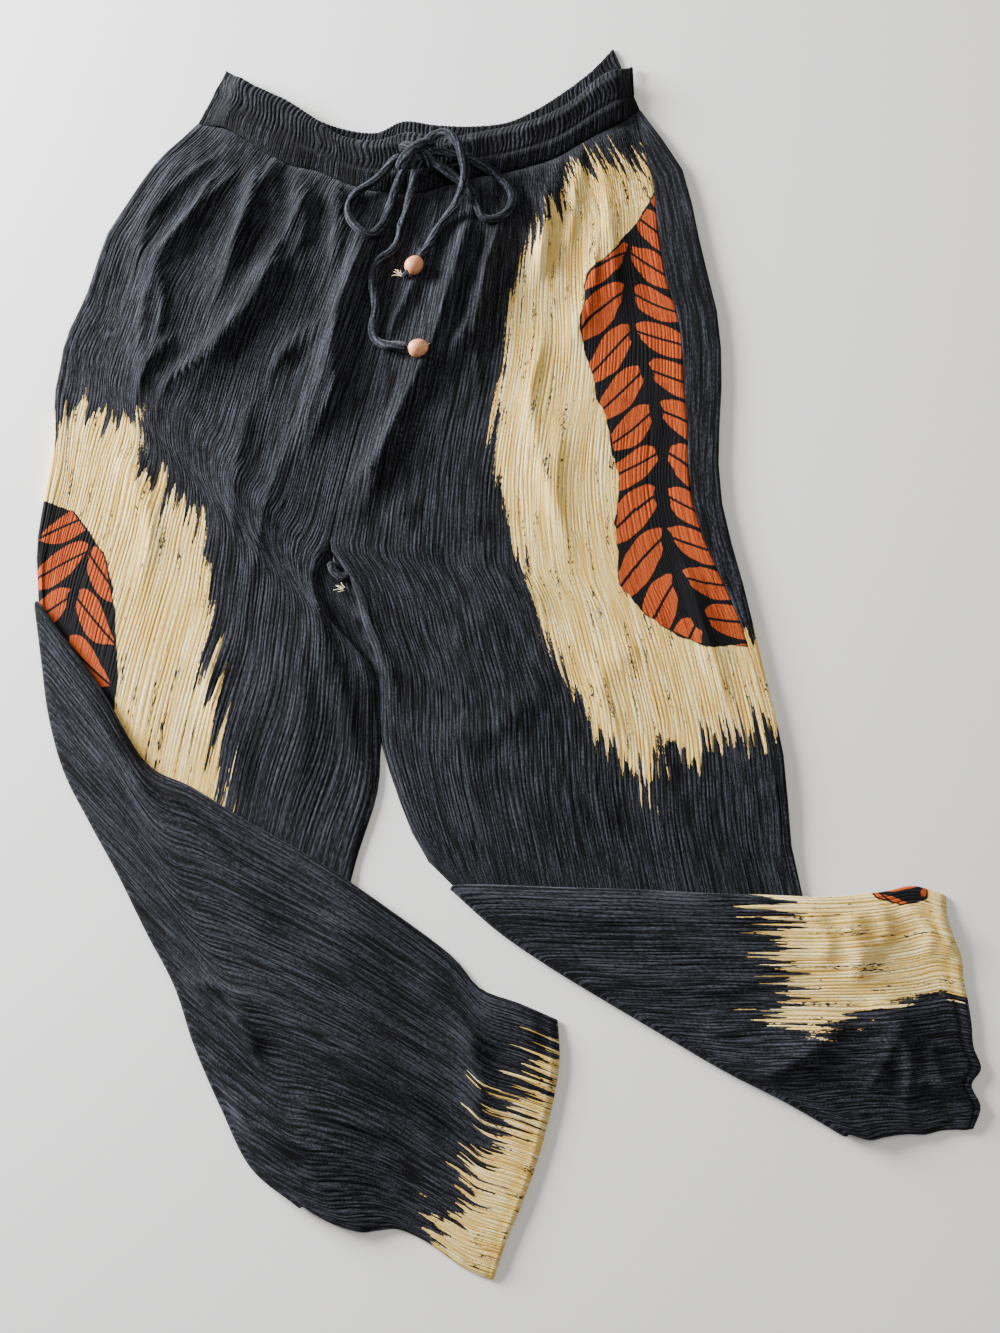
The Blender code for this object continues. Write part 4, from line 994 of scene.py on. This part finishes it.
# Each step makes a value: a Math operation, SMOOTH from one value to another, or a LAYER of
# colour over another where a value rises from low to high.
crepeSteps = (
    # How raised the cloth is, which sets its painted shade and highlight, with slow changes of dye
    # and wear: 0.62 ridge
    # + 1.6 fine + 0.2 wide + pebble - 1.1, less up to 0.45 of painted shade in the grooves.
    ("level", "MULTIPLY_ADD", "ridge", 0.62, -1.1),
    ("level", "MULTIPLY_ADD", "fine", 1.6, "level"),
    ("level", "MULTIPLY_ADD", "wide", 0.2, "level"),
    ("level", "MULTIPLY_ADD", "pebble", 1.0, "level"),
    # Painted shade: the deepest grooves are darkened by up to 0.45.
    ("paintedGrooveShade", "SMOOTH", "groove", 0.45, 0.36, 0.0, 0.45),
    ("level", "SUBTRACT", "level", "paintedGrooveShade"),
    # Painted light: near-black painted shade where the cloth is low, the dye between, and a pale
    # cool painted highlight where it is raised.
    ("colour", "LAYER", "grooveShadePaint", "clothDye", "level", 0.15, 0.62),
    ("colour", "LAYER", "colour", "ridgeHighlightPaint", "level", 0.58, 1.3),
    ("height", "MULTIPLY_ADD", "woven", 0.625, "fine"))

# The cream is pigment brushed on dry along the grain, so it skips the grooves, which are also
# darkened with painted shade, and its raised parts partly get a painted highlight; the rust and
# black over it are printed flat and matt, with a painted highlight on the rust's ridges and
# painted shade in the grooves.
printedFields = ("cream", "creamReach", "patch", "stemRun", "stemSide")
brushNoise = dict(streak=(4.2, 90.0, 3.0, 3.0),  # bristle strokes at the ends of the cream
                  speck=(1.0, 3.2, 4.0, 3.0),    # dry-brush speckle, 0.5 mm, drawn coarser
                  dry=(6.0, 40.0, 5.0, 4.0),     # places where the brush ran dry
                  tone=(5.0, 70.0, 6.0, 3.0))    # pigment laid thick or thin
wobbleSize = 1000.0 / 45.0    # how often a hand-drawn line strays, in millimetres
printSteps = (
    # Cream where 0.76 (covered - worn) + speck passes 1; its edge strays by
    # (streak - 0.5) 3.2 creamReach.
    ("stray", "MULTIPLY_ADD", "streak", 3.2, -1.6),
    ("edge", "MULTIPLY_ADD", "stray", "creamReach", "cream"),
    ("covered", "SMOOTH", "edge", -8.0, 6.0),
    ("worn", "SMOOTH", "dry", 0.46, 0.7, 0.0, 0.4),
    ("covered", "SUBTRACT", "covered", "worn"),
    ("mark", "MULTIPLY_ADD", "covered", 0.76, "speck"),
    # Partly painted light: the cream turns pale where the cloth is raised, a painted highlight
    # besides thick pigment, and dark grey in low places, painted shade besides the bare grooves.
    ("thickAndLit", "MULTIPLY_ADD", "tone", 1.6, "level"),
    ("paint", "LAYER", "ochrePaint", "creamPaint", "tone", 0.26, 0.52),
    ("paint", "LAYER", "paint", "paleAndLitPaint", "thickAndLit", 1.3, 2.15),
    ("paint", "LAYER", "paint", "bareAndShadedGroove", "level", 0.22, -0.15),
    ("colour", "LAYER", "colour", "paint", "mark", 0.95, 1.05),
    # Leaves on both sides of a stem: one to a pitch, swept back by slant times the distance
    # across, each 0.455 sin(pi side^0.75) wide and split along its middle.
    ("wobble", "SUBTRACT", "wobble", 0.5),
    ("side", "ABSOLUTE", "stemSide"),
    ("side", "MULTIPLY_ADD", "wobble", 0.25, "side"),
    ("lag", "MULTIPLY", "side", "leafSlant"),
    ("swept", "SUBTRACT", "stemRun", "lag"),
    ("swept", "MULTIPLY_ADD", "wobble", 9.0, "swept"),
    ("cell", "DIVIDE", "swept", "leafPitch"),
    ("cell", "FRACT", "cell"),
    ("off", "SUBTRACT", "cell", 0.5),
    ("off", "ABSOLUTE", "off"),
    ("bulge", "POWER", "side", 0.75),
    ("bulge", "MULTIPLY", "bulge", np.pi),
    ("bulge", "SINE", "bulge"),
    ("leaf", "MULTIPLY", "bulge", 0.455),
    ("leaf", "SUBTRACT", "leaf", "off"),
    ("split", "SUBTRACT", "off", 0.026),
    ("leaf", "MINIMUM", "leaf", "split"),
    ("stemGap", "MULTIPLY_ADD", "side", 1.5, -0.105),
    ("leaf", "MINIMUM", "leaf", "stemGap"),
    ("shape", "MULTIPLY_ADD", "wobble", 10.0, "patch"),
    # Painted shade and highlight: the black ground and the rust go to near-black ink in low
    # places, and the rust turns paler on raised ones.
    ("ground", "LAYER", "inkAndGrooveShade", "clothDye", "level", 0.3, 1.0),
    ("rust", "LAYER", "rustPaint", "rustHighlightPaint", "level", 0.2, 1.0),
    ("rust", "LAYER", "rust", "inkAndGrooveShade", "level", 0.2, -0.2),
    ("frond", "LAYER", "ground", "rust", "leaf", 0.0, 0.02),
    ("frond", "LAYER", "ground", "frond", "patch", 0.8, 1.6),
    ("colour", "LAYER", "colour", "frond", "shape", -0.6, 0.6))


# Dyed crepe: black with a painted highlight on its ridges and painted shade in its grooves, and on
# the printed panels cream brushed on along the grain, and a rust frond on black.
def crepeMaterial(name, printed, changed=()):
    shade, tree = newMaterial(name)
    found = {key: linear(value) if isinstance(value, str) else value
             for key, value in {**crepeLook, **dict(changed)}.items()}
    for key in crepeFields + (printedFields if printed else ()):
        found[key] = add(tree, "Attribute", (), "Fac", attribute_name=key)
    for key, (wide, long, seed, detail) in {**crepeNoise,
                                            **(brushNoise if printed else {})}.items():
        across = add(tree, "Math", (found["acrossMm"], wide), operation="DIVIDE")
        run = add(tree, "Math", (found["alongMm"], long), operation="DIVIDE")
        spot = add(tree, "CombineXYZ", (across, run, seed))
        found[key] = add(tree, "TexNoise", {"Vector": spot, "Scale": 1.0, "Detail": detail,
                                            "Roughness": 0.55}, "Fac")
    place = add(tree, "TexCoord", (), "Object")
    for key, size in (("woven", wovenSize), ("wobble", wobbleSize))[:2 if printed else 1]:
        found[key] = add(tree, "TexNoise", {"Vector": place, "Scale": 1000.0 / size,
                                            "Detail": 2.0}, "Fac")
    for key, step, *values in crepeSteps + (printSteps if printed else ()):
        values = [found[v] if isinstance(v, str) else v for v in values]
        if step in ("SMOOTH", "LAYER"):
            value = add(tree, "MapRange", values[2 * (step == "LAYER"):],
                        interpolation_type="SMOOTHSTEP")
            if step == "LAYER":
                value = add(tree, "Mix", {0: value, 6: values[0], 7: values[1]}, 2,
                            data_type="RGBA")
        else:
            value = add(tree, "Math", values, operation=step)
        found[key] = value
    return finishMaterial(shade, found["colour"], found["height"], found["grainDepth"],
                          crepeSurface)


# Fibres along one axis, from a dark to a pale tone; sizes gives each attribute's grain in
# millimetres.
def fibreMaterial(name, sizes, dark, pale, depth, surface):
    shade, tree = newMaterial(name)
    spot = []
    for key, size in sizes.items():
        value = add(tree, "Attribute", (), "Fac", attribute_name=key)
        spot.append(add(tree, "Math", (value, size), operation="DIVIDE"))
    spot = add(tree, "CombineXYZ", spot)
    grain = add(tree, "TexNoise", {"Vector": spot, "Scale": 1.0, "Detail": 4.0,
                                   "Roughness": 0.6}, "Fac")
    share = add(tree, "MapRange", (grain, 0.35, 0.65), interpolation_type="SMOOTHSTEP")
    colour = add(tree, "Mix", {0: share, 6: linear(dark), 7: linear(pale)}, 2,
                 data_type="RGBA")
    return finishMaterial(shade, colour, grain, depth, surface)


printedCrepe = crepeMaterial("printed crinkled viscose crepe", True)
plainCrepe = crepeMaterial("black crinkled viscose crepe", False)
# The drawstring is the same crepe, paler on its ridges: a brighter painted highlight, with a
# lighter dye between.
cordLook = dict(grooveShadePaint="#050506", clothDye="#17181c", ridgeHighlightPaint="#50545f")
cordCrepe = crepeMaterial("twisted crepe drawstring", False, cordLook)
# Cotton sewing thread, undyed and frayed: matt cream with darker twists every 2 mm.
threadCotton = fibreMaterial("frayed cream thread", dict(acrossMm=0.5, alongMm=2.0),
                             "#b9a87c", "#e6dcb8", 0.00005,
                             {"Roughness": 0.85, "Specular IOR Level": 0.2})
# Pale hardwood, lathe-turned and lightly sealed: peach-tan with fibres 0.9 mm wide along the
# bead's length and a soft satin highlight.
wood = fibreMaterial("turned sealed wood", dict(grainX=8.2, grainY=0.91, grainZ=0.91),
                     "#d3855a", "#ebab84", 0.0001,
                     {"Roughness": 0.38, "Specular IOR Level": 0.45})
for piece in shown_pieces():
    if piece.type == "MESH" and "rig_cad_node" not in piece:
        kind = plainCrepe
        if piece.name.startswith("leg"):
            kind = printedCrepe
        elif piece.name.startswith("bead"):
            kind = wood
        elif "thread" in piece.name or "frayed" in piece.name:
            kind = threadCotton
        elif piece.name.startswith(("cord", "knot")):
            kind = cordCrepe
        piece.data.materials.append(kind)
print("stage: materials")

floorMesh = bpy.data.meshes.new("floor")
floorMesh.from_pydata([(-4, -4, 0), (4, -4, 0), (4, 4, 0), (-4, 4, 0)], [], [(0, 1, 2, 3)])
floor = bpy.data.objects.new("floor", floorMesh)
bpy.context.scene.collection.objects.link(floor)
backdrop, backdropTree = newMaterial("matt white backdrop")  # painted board, plain on purpose
backdropSurface = backdropTree.nodes["Principled BSDF"]
backdropSurface.inputs["Base Color"].default_value = linear("#f2f1ee")
backdropSurface.inputs["Roughness"].default_value = 0.9
floorMesh.materials.append(backdrop)


# Puts an object in the scene at a place in metres, facing a target.
def aimed(name, data, location, target):
    made = bpy.data.objects.new(name, data)
    bpy.context.scene.collection.objects.link(made)
    made.location = location
    aim = Vector(target) - Vector(location)
    made.rotation_euler = aim.to_track_quat("-Z", "Y").to_euler()
    return made


# Each light: place, width and depth in metres, watts and colour.
for name, location, size, power, colour in (
        ("window side softbox", (-1.8, 0.9, 0.56), (1.0, 0.7), 250, "#f6f5f8"),
        ("overhead softbox", (0.6, 0.3, 2.4), (1.8, 1.8), 24, "#fff8ef")):
    light = bpy.data.lights.new(name, "AREA")
    light.shape, light.energy, light.color = "RECTANGLE", power, linear(colour)[:3]
    light.size, light.size_y = size
    aimed(name, light, location, (0, 0, 0))

world = bpy.data.worlds.new("studio")
world.use_nodes = True
world.node_tree.nodes["Background"].inputs["Color"].default_value = linear("#f6f7f8")
world.node_tree.nodes["Background"].inputs["Strength"].default_value = 0.3
bpy.context.scene.world = world

camera = aimed("camera", bpy.data.cameras.new("camera"), (0.0111, -0.3328, 1.0046),
               (0.0111, -0.06359, 0.0))
camera.data.lens, camera.data.sensor_width = 35.0, 36.0
bpy.context.scene.camera = camera
print("stage: studio")
